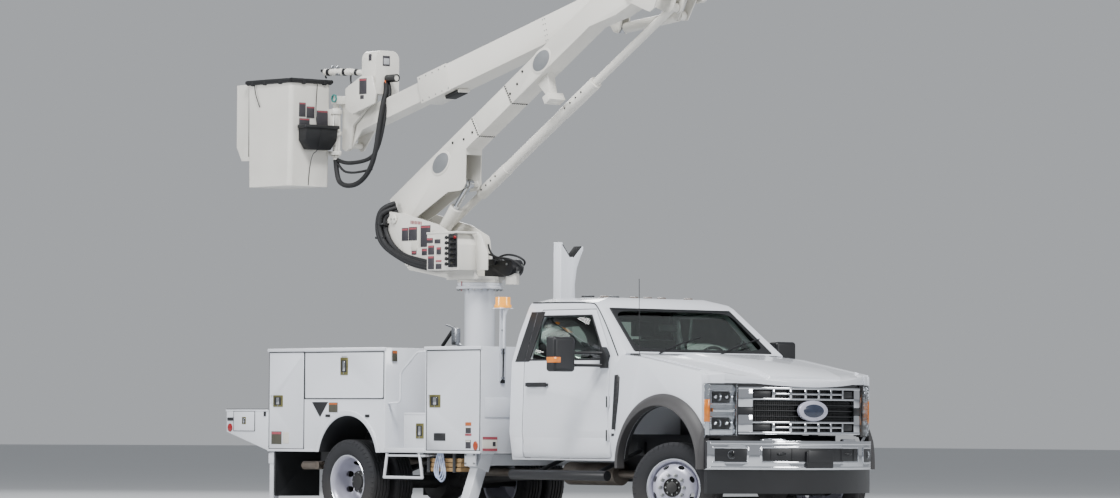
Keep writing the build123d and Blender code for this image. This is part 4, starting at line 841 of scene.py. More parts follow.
class TRUCK_OT_front(Step, bpy.types.Operator):
    """Bumper, glass, dashboard and beacon"""
    bl_idname = "truck.front"
    bl_label = "Front and cab fittings"

    def execute(self, context):
        # The air dam below 556 mm is dark grained plastic like the arches, but it is given the darker
        # black plastic here: painted shade, since it faces down.
        dress("front_bumper", "chrome_plate", 8, 3,
              [("black_plastic", lambda x, y, z, n: z < 556),
               ("chassis_black", lambda x, y, z, n: x < 740 and abs(y) < 440 and z > 680 and n.x < 0.3)])
        for node in ("cab_glass", "door_glass_right", "door_glass_left"):
            dress(node, "tinted_glass", 0)
        dress("dashboard", "black_plastic", 12, 3)
        dress("beacon", "beacon_amber", 4, 3, [("white_enamel", lambda x, y, z, n: z < 2013)])
        return {"FINISHED"}


class TRUCK_OT_wheels(Step, bpy.types.Operator):
    """Tyres, rims, discs, nuts and hubs of the single front and twin rear wheels"""
    bl_idname = "truck.wheels"
    bl_label = "Wheels"

    def tyre(self, x, y):
        """Tyre with four grooves and shoulder lugs, and its middle at a place."""
        tread = [(TYRE_RADIUS, -86)]
        for middle in (-54, -18, 18, 54):
            tread += [(TYRE_RADIUS, middle - 7), (384, middle - 4), (384, middle + 4),
                      (TYRE_RADIUS, middle + 7)]
        tread.append((TYRE_RADIUS, 86))
        wall = [(391, 98), (379, 103), (376, 107), (350, 111), (318, 112), (290, 110), (264, 103),
                (252, 95), (244, 80)]
        profile = [(r, -d) for r, d in reversed(wall)] + tread + wall
        ring = wear(lathe(profile + profile[:1], (x, y, TYRE_RADIUS), (0, -1, 0), 96), "tyre_rubber")
        lugs = []
        for i in range(48):
            a = 2 * pi * i / 48
            for side in (-1, 1):
                place = (x + 390 * cos(a), y + side * 97, TYRE_RADIUS + 390 * sin(a))
                tip = (x + 360 * cos(a + 0.02), y + side * 111, TYRE_RADIUS + 360 * sin(a + 0.02))
                lugs.append(rod(place, tip, 7, 0, 4, 5))
        return [ring] + [wear(lug, "tyre_rubber") for lug in lugs]

    def rim(self, x, y, disc, holes_at, nuts_at):
        """Rim, disc with hand holes, bright lip, nuts and studs."""
        barrel = [(236, -98), (246, -102), (253, -102), (254, -96), (244, -88), (230, -62), (226, -40),
                  (226, 40), (230, 62), (244, 88), (254, 96), (253, 102), (246, 102), (236, 96),
                  (219, 60), (217, 0), (219, -60), (236, -98)]
        ring = lathe(barrel, (x, y, TYRE_RADIUS), (0, -1, 0), 96)
        back = [(r - 2, d - 11) for r, d in reversed(disc)]
        plate_ring = lathe(disc + back + disc[:1], (x, y, TYRE_RADIUS), (0, -1, 0), 96)
        cutters = []
        for i in range(8):
            a = 2 * pi * (i + 0.5) / 8
            spot = (x + 187 * cos(a), TYRE_RADIUS + 187 * sin(a))
            cutters.append(plate(oval(*spot, 17, 31, 24, a), "Y", y - holes_at - 60, y - holes_at + 60,
                                 0))
        quiet()
        for cutter in cutters:
            cutter.select_set(True)
        bpy.context.view_layer.objects.active = cutters[0]
        bpy.ops.object.join()
        cut_away(plate_ring, cutters[0])
        soften(plate_ring, 2.5, 2, 30)
        pieces = [wear(ring, "wheel_silver"), wear(plate_ring, "wheel_silver")]
        lip = lathe([(247, 101), (254, 101), (255, 104), (251, 106), (246, 104), (247, 101)],
                    (x, y, TYRE_RADIUS), (0, -1, 0), 96)
        pieces.append(wear(lip, "reflector"))
        for i in range(10):
            a = 2 * pi * i / 10
            nx, nz = x + 112 * cos(a), TYRE_RADIUS + 112 * sin(a)
            nut = rod((nx, y - nuts_at, nz), (nx, y - nuts_at - 22, nz), sizes().nut / 2, 2.5, 6)
            stud = rod((nx, y - nuts_at - 18, nz), (nx, y - nuts_at - 36, nz), 9.5, 1.5, 14)
            pieces += [wear(nut, "zinc"), wear(stud, "zinc")]
        return pieces

    def hub(self, x, y, profile, bolts_at, ring, count):
        """Hub turned from a profile, with a ring of bolts."""
        body = wear(lathe(profile, (x, y, TYRE_RADIUS), (0, -1, 0), 64, 2), "hub_grease")
        heads = []
        for i in range(count):
            a = 2 * pi * i / count
            heads.append((x + ring * cos(a), y - bolts_at, TYRE_RADIUS + ring * sin(a)))
        return [body] + [wear(b, "zinc") for b in bolts(heads, (0, -1, 0), 8, 9)]

    def front_wheels(self):
        """Single front wheels, turned as in the photo."""
        front_disc = [(221, 26), (212, 62), (203, 84), (188, 104), (166, 121), (148, 129), (84, 134)]
        y = -FRONT_WHEEL_Y
        tyre = self.tyre(0, y)
        rim = self.rim(0, y, front_disc, 96, 130)
        hub = self.hub(0, y, [(84, 112), (84, 138), (76, 141), (72, 128), (52, 124), (50, 147), (44, 150),
                              (0, 150)], 127, 62, 8)
        right = [bind("front_tyre_right", "front_wheel_right", "tyre", *tyre),
                 bind("front_rim_right", "front_wheel_right", "tyre", *rim),
                 bind("front_hub_right", "front_wheel_right", "tyre", *hub)]
        for piece in right:
            turn_about(left_twin(piece, "front_wheel_left", "front_wheel_left"), 0, KINGPIN_Y, STEER_REST)
            turn_about(piece, 0, -KINGPIN_Y, STEER_REST)
            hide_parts("front_wheel_right")

    def rear_wheels(self):
        """Twin rear wheels."""
        rear_disc = [(221, 34), (214, 4), (205, -32), (194, -66), (176, -94), (160, -107), (84, -110)]
        x = -WHEELBASE
        outer = self.tyre(x, -REAR_OUTER_Y) + self.tyre(x, -REAR_INNER_Y)
        rims = self.rim(x, -REAR_OUTER_Y, rear_disc, -56, -118)
        inner = lathe([(236, -98), (253, -102), (244, -88), (226, -50), (226, 50), (244, 88), (253, 102),
                       (236, 98), (217, 50), (217, -50), (236, -98)], (x, -REAR_INNER_Y, TYRE_RADIUS),
                      (0, -1, 0), 96)
        inner_disc = lathe([(221, -30), (205, 50), (176, 110), (84, 126), (84, 116), (170, 100),
                            (196, 48), (212, -30), (221, -30)], (x, -REAR_INNER_Y, TYRE_RADIUS),
                           (0, -1, 0), 96)
        rims += [wear(inner, "wheel_silver"), wear(inner_disc, "wheel_silver")]
        centre = self.hub(x, -REAR_OUTER_Y,
                          [(84, -124), (84, -52), (102, -50), (104, -38), (70, -34), (66, -22), (0, -20)],
                          -38, 87, 8)
        for name, pieces in (("rear_tyres", outer), ("rear_rims", rims), ("rear_hub", centre)):
            piece = bind(name + "_right", "rear_wheels_right", "tyre", *pieces)
            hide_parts("rear_wheels_right")
            left_twin(piece, "rear_wheels_left", "rear_wheels_left")

    def execute(self, context):
        self.front_wheels()
        self.rear_wheels()
        return {"FINISHED"}


class TRUCK_OT_face(Step, bpy.types.Operator):
    """Grille, headlights and what is set in the bumper"""
    bl_idname = "truck.face"
    bl_label = "Grille and lamps"

    def grille(self):
        """Chrome bars before a black mesh, and a blank badge."""
        chrome = [bow(-740, 740, 1262, 1285, 0, 70, NOSE, 7), bow(-740, 740, 868, 894, 0, 70, NOSE, 7),
                  bow(-630, 630, 1170, 1188, -4, 40, NOSE, 5), bow(-630, 630, 966, 984, -4, 40, NOSE, 5)]
        for a, b in ((-741, -614), (614, 741)):
            chrome += [bow(a, b, 1106, 1275, -3, 60, NOSE, 8), bow(a, b, 880, 1042, -3, 60, NOSE, 8)]
        for low, high in ((1186, 1262), (894, 968)):
            for y in (-420, -245, -80, 80, 245, 420):
                chrome.append(bow(y - 13, y + 13, low - 4, high + 4, -6, 36, NOSE, 4))
            middle = (low + high) / 2
            chrome.append(bow(-420, 420, middle - 8, middle + 8, -10, 26, NOSE, 3))
        frame_piece = bind("grille_bars", "truck", "chrome", *worn("chrome_plate", chrome))
        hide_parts("grille")
        dark = [bow(-720, 720, 872, 1280, -52, 14, NOSE, 1)]
        for z in (1028, 1077, 1126):
            dark.append(bow(-620, 620, z - 4, z + 4, -18, 22, NOSE, 2))
        for z in range(900, 1262, 13):
            dark.append(bow(-620, 620, z, z + 3, -40, 12, NOSE, 0))
        for y in range(-610, 620, 20):
            dark.append(bow(y, y + 3, 885, 1268, -41, 10, NOSE, 0))
        for y in (-1, 1):
            a, b = sorted((y * 438, y * 604))
            for low, high in ((1194, 1254), (902, 960)):
                dark.append(bow(a, b, low, high, -14, 24, NOSE, 12))
            a, b = sorted((y * 612, y * 742))
            dark.append(bow(a, b, 1044, 1104, -4, 60, NOSE, 6))
        bind("grille_mesh", "truck", "black_plastic", *worn("black_plastic", dark))
        x = nose_x(0, *NOSE)
        ring = wear(plate(oval(0, 1077, 176, 91, 64), "X", x - 24, x + 10, 8, 4), "wheel_silver")
        blank = wear(plate(oval(0, 1077, 122, 58, 64), "X", x + 8, x + 14, 3, 2), "blank_badge")
        bind("badge_blank", "truck", "chrome", ring, blank)

    def headlight(self):
        """Reflectors, lamps and amber corner behind a wrap-round lens."""
        black = [bow(-747, -741, 856, 1306, -2, 8, NOSE, 1), bow(-962, -741, 1304, 1311, -1, 50, NOSE, 2),
                 bow(-957, -742, 850, 858, -2, 50, NOSE, 2),
                 bow(-918, -788, 1140, 1242, -40, 12, NOSE, 3),
                 bow(-918, -788, 914, 1016, -40, 12, NOSE, 3)]
        bright = [bow(-930, -766, 1062, 1096, -14, 40, NOSE, 6),
                  bow(-752, -742, 858, 1304, -11, 46, NOSE, 2)]
        for z in (1190, 965):
            for y in (-898, -812):
                x = nose_x(y, *NOSE) - 16
                bright.append(lathe([(39, 0), (37, -4), (26, -30), (12, -42), (0, -44)], (x, y, z),
                                    (1, -0.25, 0), 32))
                bright.append(lathe([(0, 0), (12, -3), (16, -12), (12, -24), (0, -26)], (x - 18, y, z),
                                    (1, -0.25, 0), 24))
            bright.append(bow(-938, -768, z + 52, z + 60, -12, 34, NOSE, 3))
            bright.append(bow(-938, -768, z - 62, z - 54, -12, 34, NOSE, 3))
        bright.append(bow(-957, -742, 856, 1306, -58, 30, NOSE, 4))
        for p in bright:
            wear(p, "reflector")
        core = [(458, -997), (470, -996), (484, -991), (494, -981), (498, -962), (458, -961)]
        bright.append(wear(plate(core, "Z", 862, 1302, 2, 2), "reflector"))
        amber = wear(plate([(456, -999.5), (470, -999), (487, -994), (498, -982), (502, -958),
                            (456, -957)], "Z", 975, 1172, 4, 2), "amber_lens")
        base = bind("headlight_right", "truck", "lamp", *worn("black_plastic", black), *bright, amber)
        cover = plate([(444, -1001), (470, -1001), (488, -996), (500, -984), (505, -960), (500, -960),
                       (495, -981), (485, -992), (469, -997), (444, -997)], "Z", 858, 1306, 1, 2)
        lens = bind("headlight_lens_right", "truck", "lamp", wear(cover, "clear_lens"),
                    wear(bow(-959, -747, 858, 1306, 0, 5, NOSE, 2), "clear_lens"))
        for piece in (base, lens):
            left_twin(piece, "truck", "headlights")
            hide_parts("headlights")

    def bumper(self):
        """Black inserts, tow hooks, bracket, fog lamps and rolled chrome rims."""
        dark = [bow(-700, 700, 566, 806, -84, 20, BUMPER, 2),
                bow(-962, -700, 600, 760, -84, 14, BUMPER, 2),
                bow(700, 962, 600, 760, -84, 14, BUMPER, 2), slab((868, -160, 574), (898, 160, 722), 6),
                slab((894, -150, 622), (903, 150, 730), 4)]
        dark.append(bow(-580, 580, 634, 748, 1.5, 20, BUMPER, 4))
        dark += [bow(-950, -700, 630, 746, 1.5, 20, BUMPER, 4),
                 bow(700, 950, 630, 746, 1.5, 20, BUMPER, 4)]
        for y in (-400, 400):
            x = nose_x(y, *BUMPER)
            dark.append(hose([(x - 10, y - 36, 700), (x + 8, y - 36, 700), (x + 16, y, 700),
                              (x + 8, y + 36, 700), (x - 10, y + 36, 700)], 11))
        for y in (-500, -300, 300, 500):
            dark.append(bow(y - 6, y + 6, 640, 742, 6, 10, BUMPER, 2))
        bind("bumper_inserts", "truck", "black_plastic", *worn("black_plastic", dark))
        bright = []
        for side in (-1, 1):
            x = nose_x(830, *BUMPER) + 8
            bright.append(wear(lathe([(34, 0), (32, -6), (20, -22), (0, -28)], (x, side * 830, 690),
                                     (1, 0.35 * side, 0), 32), "reflector"))
            bright.append(wear(lathe([(34, 0), (37, 0), (37, -14), (33, -14)], (x, side * 830, 690),
                                     (1, 0.35 * side, 0), 32), "chrome_plate"))
            bright.append(wear(lathe([(0, 4), (20, 3), (33, -1), (33, -4), (0, -3)], (x, side * 830, 690),
                                     (1, 0.35 * side, 0), 32), "clear_lens"))
        bind("fog_lamps", "truck", "lamp", *bright)
        pads = []
        for side in (-1, 1):
            a, b = sorted((side * 350, side * 560))
            pads.append(bow(a, b, 800, 832, -8, 56, BUMPER, 12))
            for edge_y in (585, 695):
                a, b = sorted((side * edge_y, side * (edge_y + 14)))
                pads.append(bow(a, b, 622, 758, 8, 30, BUMPER, 6))
            a, b = sorted((side * 700, side * 965))
            pads.append(bow(a, b, 746, 762, 8, 30, BUMPER, 6))
            pads.append(bow(a, b, 614, 630, 8, 30, BUMPER, 6))
        pads += [bow(-590, 590, 614, 634, 8, 30, BUMPER, 7), bow(-590, 590, 748, 766, 8, 30, BUMPER, 7),
                 bow(-980, 980, 778, 800, 6, 40, BUMPER, 9), bow(-980, 980, 568, 590, 6, 40, BUMPER, 9)]
        bind("bumper_rims", "truck", "chrome", *worn("chrome_plate", pads))

    def hood_edge(self):
        """Wing corners, seal and the hood's front lip."""
        corner = [(438, -1002), (470, -1002), (488, -997), (500, -984), (505, -962), (440, -961)]
        right = trim(plate(corner, "Z", 1311, 1420, 3, 2), (470, -1000, 1392), (0.281, -0.216, 0.936))
        filler = trim(bow(-968, -848, 1311, 1440, -6, 120, NOSE, 0), (470, -1000, 1392),
                      (0.281, -0.216, 0.936))
        for piece in (right, filler):
            wear(soften(piece, 4, 3), "white_enamel")
        strip = wear(bow(-738, 738, 1284, 1318, -24, 60, NOSE, 3), "black_plastic")
        bind("wing_corners", "truck", "white_paint", right, mirrored(right), filler, mirrored(filler))
        bind("hood_seal", "truck", "rubber", strip)
        lips = []
        for y0, y1, low in ((-735, 735, 1314), (735, 850, 1314), (-850, -735, 1314)):
            lip = bow(y0, y1, low, 1420, -14, 60, NOSE, 0)
            trim(lip, (900, 0, 1297), (0.29, 0, 0.957))
            lips.append(wear(soften(lip, 3, 2), "white_enamel"))
        bind("hood_lip", "hood", "white_paint", *lips)

    def execute(self, context):
        self.grille()
        self.headlight()
        self.bumper()
        self.hood_edge()
        return {"FINISHED"}


class TRUCK_OT_trim(Step, bpy.types.Operator):
    """Cab fittings: vents, wipers, roof lamps, aerial, mirror glass, seats and wheel arches"""
    bl_idname = "truck.trim"
    bl_label = "Cab fittings"

    def vents(self):
        """Ribbed side vents behind the front wheels."""
        vent = [(-662, 1392), (-640, 1370), (-652, 1200), (-706, 848), (-745, 842), (-742, 900),
                (-712, 1290), (-705, 1388)]
        panel = wear(plate(vent, "Y", -1007, -999, 2, 2), "black_plastic")
        rib = []
        for i in range(9):
            z = 920 + i * 50
            x = -712 + (z - 880) * 0.085
            rib.append(wear(slab((x - 14, -1010, z), (x + 20, -1003, z + 16), 2), "black_plastic"))
        bind("side_vents", "truck", "black_plastic", panel, mirrored(panel), *rib, *twins(rib))

    def arches(self):
        """Front arch flares, cut to the wings."""
        flare = lathe([(512, 66), (516, 84), (530, 84), (574, 62), (618, 18), (622, 4), (618, 0),
                       (512, 0), (512, 66)], (FRONT_ARCH[0], -1001, FRONT_ARCH[1]), (0, -1, 0), 96)
        trim(flare, (0, 0, 560), (0, 0, 1), False)
        trim(flare, (-672, 0, 0), (1, 0, 0), False)
        trim(flare, (478, 0, 0), (1, 0, 0))
        soften(flare, 6, 3, 40)
        wear(flare, "grained_plastic")
        right = bind("arch_flares", "truck", "grey_plastic", flare, mirrored(flare))
        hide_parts("wheel_flares")

    def pillars(self):
        """Black pillars of cab and doors, windscreen seal and gutters."""
        strips = []
        for points in (((-2098, 1514), (-1969, 1514), (-1969, 1972), (-2050, 1972)),
                       ((-1965, 1514), (-1900, 1514), (-1860, 1926), (-1860, 1972), (-1965, 1972))):
            strips.append(plate(points, "Y", -987.5, -984.5, 0))
        for strip in strips:
            for v in strip.data.vertices:
                v.co.y += (v.co.z - GLASS_FOOT / 1000) * GLASS_LEAN
            wear(strip, "black_plastic")
        others = twins(strips)
        bind("cab_pillars", "truck", "black_plastic", strips[0], others[0])
        bind("door_pillar_right", "cab_door_right", "black_plastic", strips[1])
        bind("door_pillar_left", "cab_door_left", "black_plastic", others[1])
        seal = [(-630, -832, 1606), (-630, 832, 1606), (-1082, 727, 1991), (-1082, -727, 1991)]
        loops = [wear(hose([seal[i], seal[(i + 1) % 4]], 10, 4, 2), "soft_rubber") for i in range(4)]
        gutter = [wear(hose([(-700, y * 968, 1560), (-1130, y * 806, 2020), (-1300, y * 800, 2056),
                             (-2060, y * 800, 2056)], 6), "soft_rubber") for y in (-1, 1)]
        bind("screen_seal", "truck", "rubber", *loops, *gutter)

    def doors(self):
        """Window seals, door handle and the skirts below the doors."""
        window = [(-1903, 1531), (-1866, 1930), (-1200, 1930), (-865, 1531), (-1903, 1531)]
        rounds = []
        for (x0, z0), (x1, z1) in zip(window, window[1:]):
            ends = [(x, (z - GLASS_FOOT) * GLASS_LEAN - GLASS_OUT, z) for x, z in ((x0, z0), (x1, z1))]
            rounds.append(wear(hose(ends, 8, 4, 2), "soft_rubber"))
        grip = wear(slab((-1888, -1030, 1284), (-1620, -1014, 1326), 8, 3), "black_plastic")
        stems = [wear(slab((x, -1018, 1292), (x + 40, -984, 1318), 5), "black_plastic")
                 for x in (-1880, -1665)]
        skirt = plate([(-984, 944), (-1000, 908), (-1001, 700), (-984, 655)], "X", -1956, -770, 3, 2)
        right = bind("door_fittings_right", "cab_door_right", "black_plastic", *rounds, grip, *stems)
        low = bind("door_skirt_right", "cab_door_right", "white_paint", wear(skirt, "white_enamel"))
        left_twin(right, "cab_door_left")
        left_twin(low, "cab_door_left")
        sill = plate([(-984, 944), (-1000, 908), (-1001, 690), (-984, 645)], "X", -2112, -1970, 3, 2)
        bind("cab_skirts", "truck", "white_paint", wear(sill, "white_enamel"), mirrored(sill))

    def screen_edge(self):
        """Black printed border of the windscreen, rounded inside."""
        outer, inner = [], []
        for i in range(72):
            a = 2 * pi * i / 72
            c, n = cos(a), sin(a)
            for ring, power, wide, tall in ((outer, 0.03, 1.0, 0.5), (inner, 0.25, 0.955, 0.455)):
                u = wide * (1 if c > 0 else -1) * abs(c) ** power
                v = 0.5 + tall * (1 if n > 0 else -1) * abs(n) ** power
                ring.append(at(-631.6 - 451.8 * v + 2, u * (830 - 105 * v), 1607.7 + 384.6 * v + 2))
        band = mesh_object("screen_border", [tuple(p) for p in outer + inner], [],
                           [(i, (i + 1) % 72, 72 + (i + 1) % 72, 72 + i) for i in range(72)])
        apply_modifier(band, "SOLIDIFY", thickness=0.002)
        bind("screen_border", "truck", "black_plastic", wear(band, "black_plastic"))

    def wheel_and_roof(self):
        """Steering wheel, roof markers, roof lamps and aerial."""
        turns = [2 * pi * i / 24 for i in range(26)]
        wheel = [hose([(-1085 + 70 * cos(a), 480 + 190 * sin(a), 1480 + 175 * cos(a)) for a in turns],
                      15), rod((-1075, 480, 1475), (-960, 480, 1420), 40, 8),
                 hose([(-1090, 300, 1470), (-1075, 480, 1476), (-1090, 660, 1470)], 14)]
        bind("steering_wheel", "truck", "black_plastic", *worn("black_plastic", wheel))
        glassy = []
        for y in (-530, -170, 0, 170, 500):
            glassy.append(wear(slab((-1429, y - 24, ROOF_TOP - 7), (-1349, y + 24, ROOF_TOP + 19), 9, 4),
                               "smoked_lens"))
        bind("roof_markers", "truck", "lamp", *glassy)
        tops = []
        for x, y in ((-1990, -200), (-1990, 105)):
            tops.append(wear(lathe([(0, 46), (50, 45), (58, 38), (58, 20), (64, 18), (64, 0), (0, 0)],
                                   (x, y, ROOF_TOP), (0, 0, 1), 40, 3), "cover_grey"))
            tops.append(wear(lathe([(59, 24), (61, 30), (59, 36), (56, 36), (56, 24)], (x, y, ROOF_TOP),
                                   (0, 0, 1), 40), "black_plastic"))
        bind("roof_beacons", "truck", "lamp", *tops)
        mast = wear(rod((-512, -880, 1560), (-520, -882, 2245), 3, 0, 10), "black_plastic")
        foot = wear(lathe([(0, 26), (10, 24), (14, 12), (20, 4), (20, 0), (0, 0)], (-512, -880, 1548),
                          (0, 0, 1), 24), "black_plastic")
        bind("aerial", "truck", "black_plastic", mast, foot)

    def wipers_and_mirrors(self):
        """Wipers with their cowl, mirror signals and mirror glass."""
        wipers = []
        for y in (-560, 180):
            wipers.append(rod((-600, y, 1588), (-720, y + 420, 1700), 7, 2, 12, 5))
            wipers.append(hose([(-640, y + 120, 1624), (-705, y + 380, 1690), (-770, y + 640, 1740)], 6))
        wipers.append(slab((-640, -900, 1566), (-560, 900, 1578), 4))
        bind("wipers", "truck", "black_plastic", *worn("black_plastic", wipers))
        for side, name in ((-1, "right"), (1, "left")):
            y0, y1 = sorted((side * 1250, side * 1462))
            glass = wear(slab((-1103, y0, 1440), (-1099, y1, 1700), 2), "mirror_glass")
            y0, y1 = sorted((side * 1410, side * 1484))
            lamp = wear(slab((-1080, y0, 1494), (-966, y1, 1546), 6), "amber_lens")
            bind("mirror_signal_" + name, "cab_door_" + name, "lamp", lamp)
            bind("mirror_glass_" + name, "cab_door_" + name, "glass", glass)

    def seats(self):
        """Three seats with their pads, and the inside mirror."""
        for spot, (y, wide) in enumerate(((-480, 480), (0, 360), (480, 480))):
            seat = crowned((-1850, y - wide / 2, 1090), (-1330, y + wide / 2, 1190), 26)
            back = lean(crowned((-1975, y - wide / 2 + 8, 1190), (-1865, y + wide / 2 - 8, 1735), 22, 0),
                        -1900, 1190, radians(-9))
            pads = [(seat, "seat_cushion"), (back, "seat_backrest")]
            if y:
                pads.append((crowned((-2030, y - 120, 1765), (-1965, y + 120, 1905), 12, 0, 24),
                             "head_rest"))
            for pad, label in pads:
                made = bind("%s_%d" % (label, spot), "truck", "seat_fabric", wear(pad, "seat_cloth"))
                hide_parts("seats")
            base = slab((-1860, y - wide / 2 + 20, 912), (-1350, y + wide / 2 - 20, 1092), 20, 3)
            made = bind("seat_base_%d" % spot, "truck", "seat_fabric", wear(base, "black_plastic"))
            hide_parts("seats")
        view_mirror = wear(slab((-1130, -110, 1790), (-1105, 110, 1855), 10, 3), "black_plastic")
        stalk = wear(rod((-1118, 0, 1850), (-1090, 0, 1950), 8), "black_plastic")
        bind("cabin_mirror", "truck", "black_plastic", view_mirror, stalk)

    def execute(self, context):
        self.vents()
        self.arches()
        self.pillars()
        self.doors()
        self.screen_edge()
        self.wheel_and_roof()
        self.wipers_and_mirrors()
        self.seats()
        return {"FINISHED"}


# Compartment doors with their latch's place along the truck, its height, width and tallness
LATCHES = (("locker_rear_vertical", -5350, 1158, 150, 112), ("locker_horizontal", -4335, 1485, 114, 165),
           ("locker_front_vertical", -2985, 1156, 160, 118))


class TRUCK_OT_body_fittings(Step, bpy.types.Operator):
    """Latches, rails, lamps, labels, grab handle and blocks of the service body"""
    bl_idname = "truck.body_fittings"
    bl_label = "Service body fittings"

    def latch(self, x, z, wide, high, y=-1197):
        """Recessed latch: dish, well, grip and lock."""
        frame_plate = wear(slab((x - wide / 2, y - 5, z - high / 2), (x + wide / 2, y + 6, z + high / 2),
                                12, 3), "yellow_zinc")
        well = wear(slab((x - wide * 0.34, y - 6, z - high * 0.34),
                         (x + wide * 0.34, y - 3, z + high * 0.34), 2), "black_plastic")
        grip = wear(slab((x - wide * 0.12, y - 11, z - high * 0.28),
                         (x + wide * 0.16, y - 4, z + high * 0.3), 4, 3), "reflector")
        lock = wear(rod((x, y - 4, z - high * 0.4), (x, y - 9, z - high * 0.4), 7), "zinc")
        return [frame_plate, well, grip, lock]

    def latches_and_rails(self):
        """Latches, edge rails and the grab handles."""
        for node, x, z, wide, high in LATCHES:
            right = bind(node + "_latch_right", node + "_right", "steel", *self.latch(x, z, wide, high))
            left_twin(right, node + "_left")
        fixed = self.latch(-3240, 880, 112, 142, -1166) + self.latch(-5884, 970, 66, 74, -1196)
        bind("body_latches", "truck", "steel", *fixed, *twins(fixed))
        white = [slab((-5512, -1206, 1628), (-3712, -1186, 1660), 5),
                 slab((-3140, -1206, 1628), (-2322, -1186, 1660), 5),
                 slab((-5510, -1202, 677), (-4712, -1190, 700), 4),
                 slab((-3130, -1202, 677), (-2330, -1190, 700), 4),
                 slab((-3724, -1204, 680), (-3128, -1180, 724), 6),
                 slab((-6048, -1199, 872), (-5718, -1193, 1058), 3),
                 slab((-6180, -1198, 1058), (-5500, -1188, 1078), 4),
                 slab((-3480, -1168, 1030), (-3132, -1160, 1050), 4),
                 slab((-2329, -1150, 1010), (-2320, -700, 1190), 5),
                 rod((-3718, -1150, 1139), (-3640, -1150, 1139), 11)]
        handle = [hose([(-3700, -1150, 1139), (-3600, -1150, 1139), (-3548, -1150, 1150),
                        (-3548, -1150, 1240), (-3549, -1150, 1380), (-3540, -1150, 1430),
                        (-3400, -1150, 1535), (-3320, -1150, 1600), (-3280, -1150, 1615),
                        (-3132, -1150, 1615)], 11)]
        made = worn("white_enamel", white + handle)
        bind("body_rails", "truck", "white_paint", *made, *twins(made))

    def seams(self):
        """Dark gaps round the compartment doors and the shelf's door."""
        seams = []
        for node, *_ in LATCHES:
            low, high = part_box(node + "_right")
            x0, x1 = low.x * 1000 - AXLE_AHEAD, high.x * 1000 - AXLE_AHEAD
            z0, z1 = low.z * 1000, high.z * 1000
            seams += [slab((x0 - 8, -1197, z0 - 6), (x0 + 1, -1190, z1 + 6), 0),
                      slab((x1 - 1, -1197, z0 - 6), (x1 + 8, -1190, z1 + 6), 0),
                      slab((x0, -1197, z1 - 1), (x1, -1190, z1 + 8), 0),
                      slab((x0, -1197, z0 - 8), (x1, -1190, z0 + 1), 0)]
        seams += [slab((-6052, -1200, 868), (-5714, -1192, 872), 0),
                  slab((-6052, -1200, 1058), (-5714, -1192, 1062), 0),
                  slab((-6052, -1200, 868), (-6048, -1192, 1062), 0),
                  slab((-5718, -1200, 868), (-5714, -1192, 1062), 0)]
        bind("door_seams", "truck", "rubber", *worn("soft_rubber", seams), *twins(seams))

    def sills(self):
        """Rear arch rims, rear posts, step treads and the tail pipe."""
        arch = lathe([(446, 0), (446, 9), (452, 15), (488, 15), (496, 8), (496, 0), (446, 0)],
                     (REAR_ARCH[0], -1195, REAR_ARCH[1]), (0, -1, 0), 96)
        arch = soften(trim(arch, (0, 0, 676), (0, 0, 1), False), 2, 2)
        wear(arch, "white_enamel")
        post = [slab((-5500, -1180, 170), (-5435, -1110, 665), 8, 3),
                slab((-5510, -1186, 560), (-5425, -1104, 660), 5)]
        step = [slab((-3712, -1190, 640), (-3132, -1010, 662), 8, 3),
                slab((-3690, -1196, 690), (-3140, -1010, 716), 10, 3)]
        tail = wear(hose([(-4850, -1030, 548), (-4950, -1040, 548), (-5130, -1040, 546)], 40, 12, 2),
                    "exhaust_steel")
        bind("tail_pipe", "truck", "dark_metal", tail)
        made = worn("white_enamel", post + step) + [arch]
        bind("body_sills", "truck", "white_paint", *made, *twins(made))

    def markers_and_lamps(self):
        """Black seals and stops, markers and tail lamps."""
        seal = [slab((-6172, -1197, 1076), (-5500, -1187, 1084), 2),
                slab((-5575, -1201, 1012), (-5540, -1193, 1058), 4),
                slab((-6150, -1202, 968), (-6050, -1193, 1000), 6),
                slab((-4615, -1202, 1006), (-4545, -1192, 1032), 8),
                slab((-4015, -1202, 1004), (-3950, -1192, 1032), 8),
                plate([(-4824, 1149), (-4579, 1149), (-4700, 1006)], "Y", -1199, -1193, 2),
                slab((-2998, -1199, 790), (-2830, -1195, 862), 3),
                slab((-2331, -966, 1320), (-2315, -918, 1352), 4)]
        dark = worn("black_plastic", seal)
        bind("body_markers", "truck", "black_plastic", *dark, *twins(dark))
        red = [plate(oval(-6108, 902, 34, 40), "Y", -1204, -1193, 3),
               plate(oval(-2397, 748, 32, 42), "Y", -1204, -1193, 3)]
        lamps = worn("red_lens", red[:1]) + worn("marker_red", red[1:])
        rear = []
        for z in (930, 1000):
            rear.append(wear(rod((-6169, -1080, z), (-6182, -1080, z), 34, 3), "red_lens"))
        bind("body_lamps", "truck", "lamp", *lamps, *rear, *twins(lamps + rear))

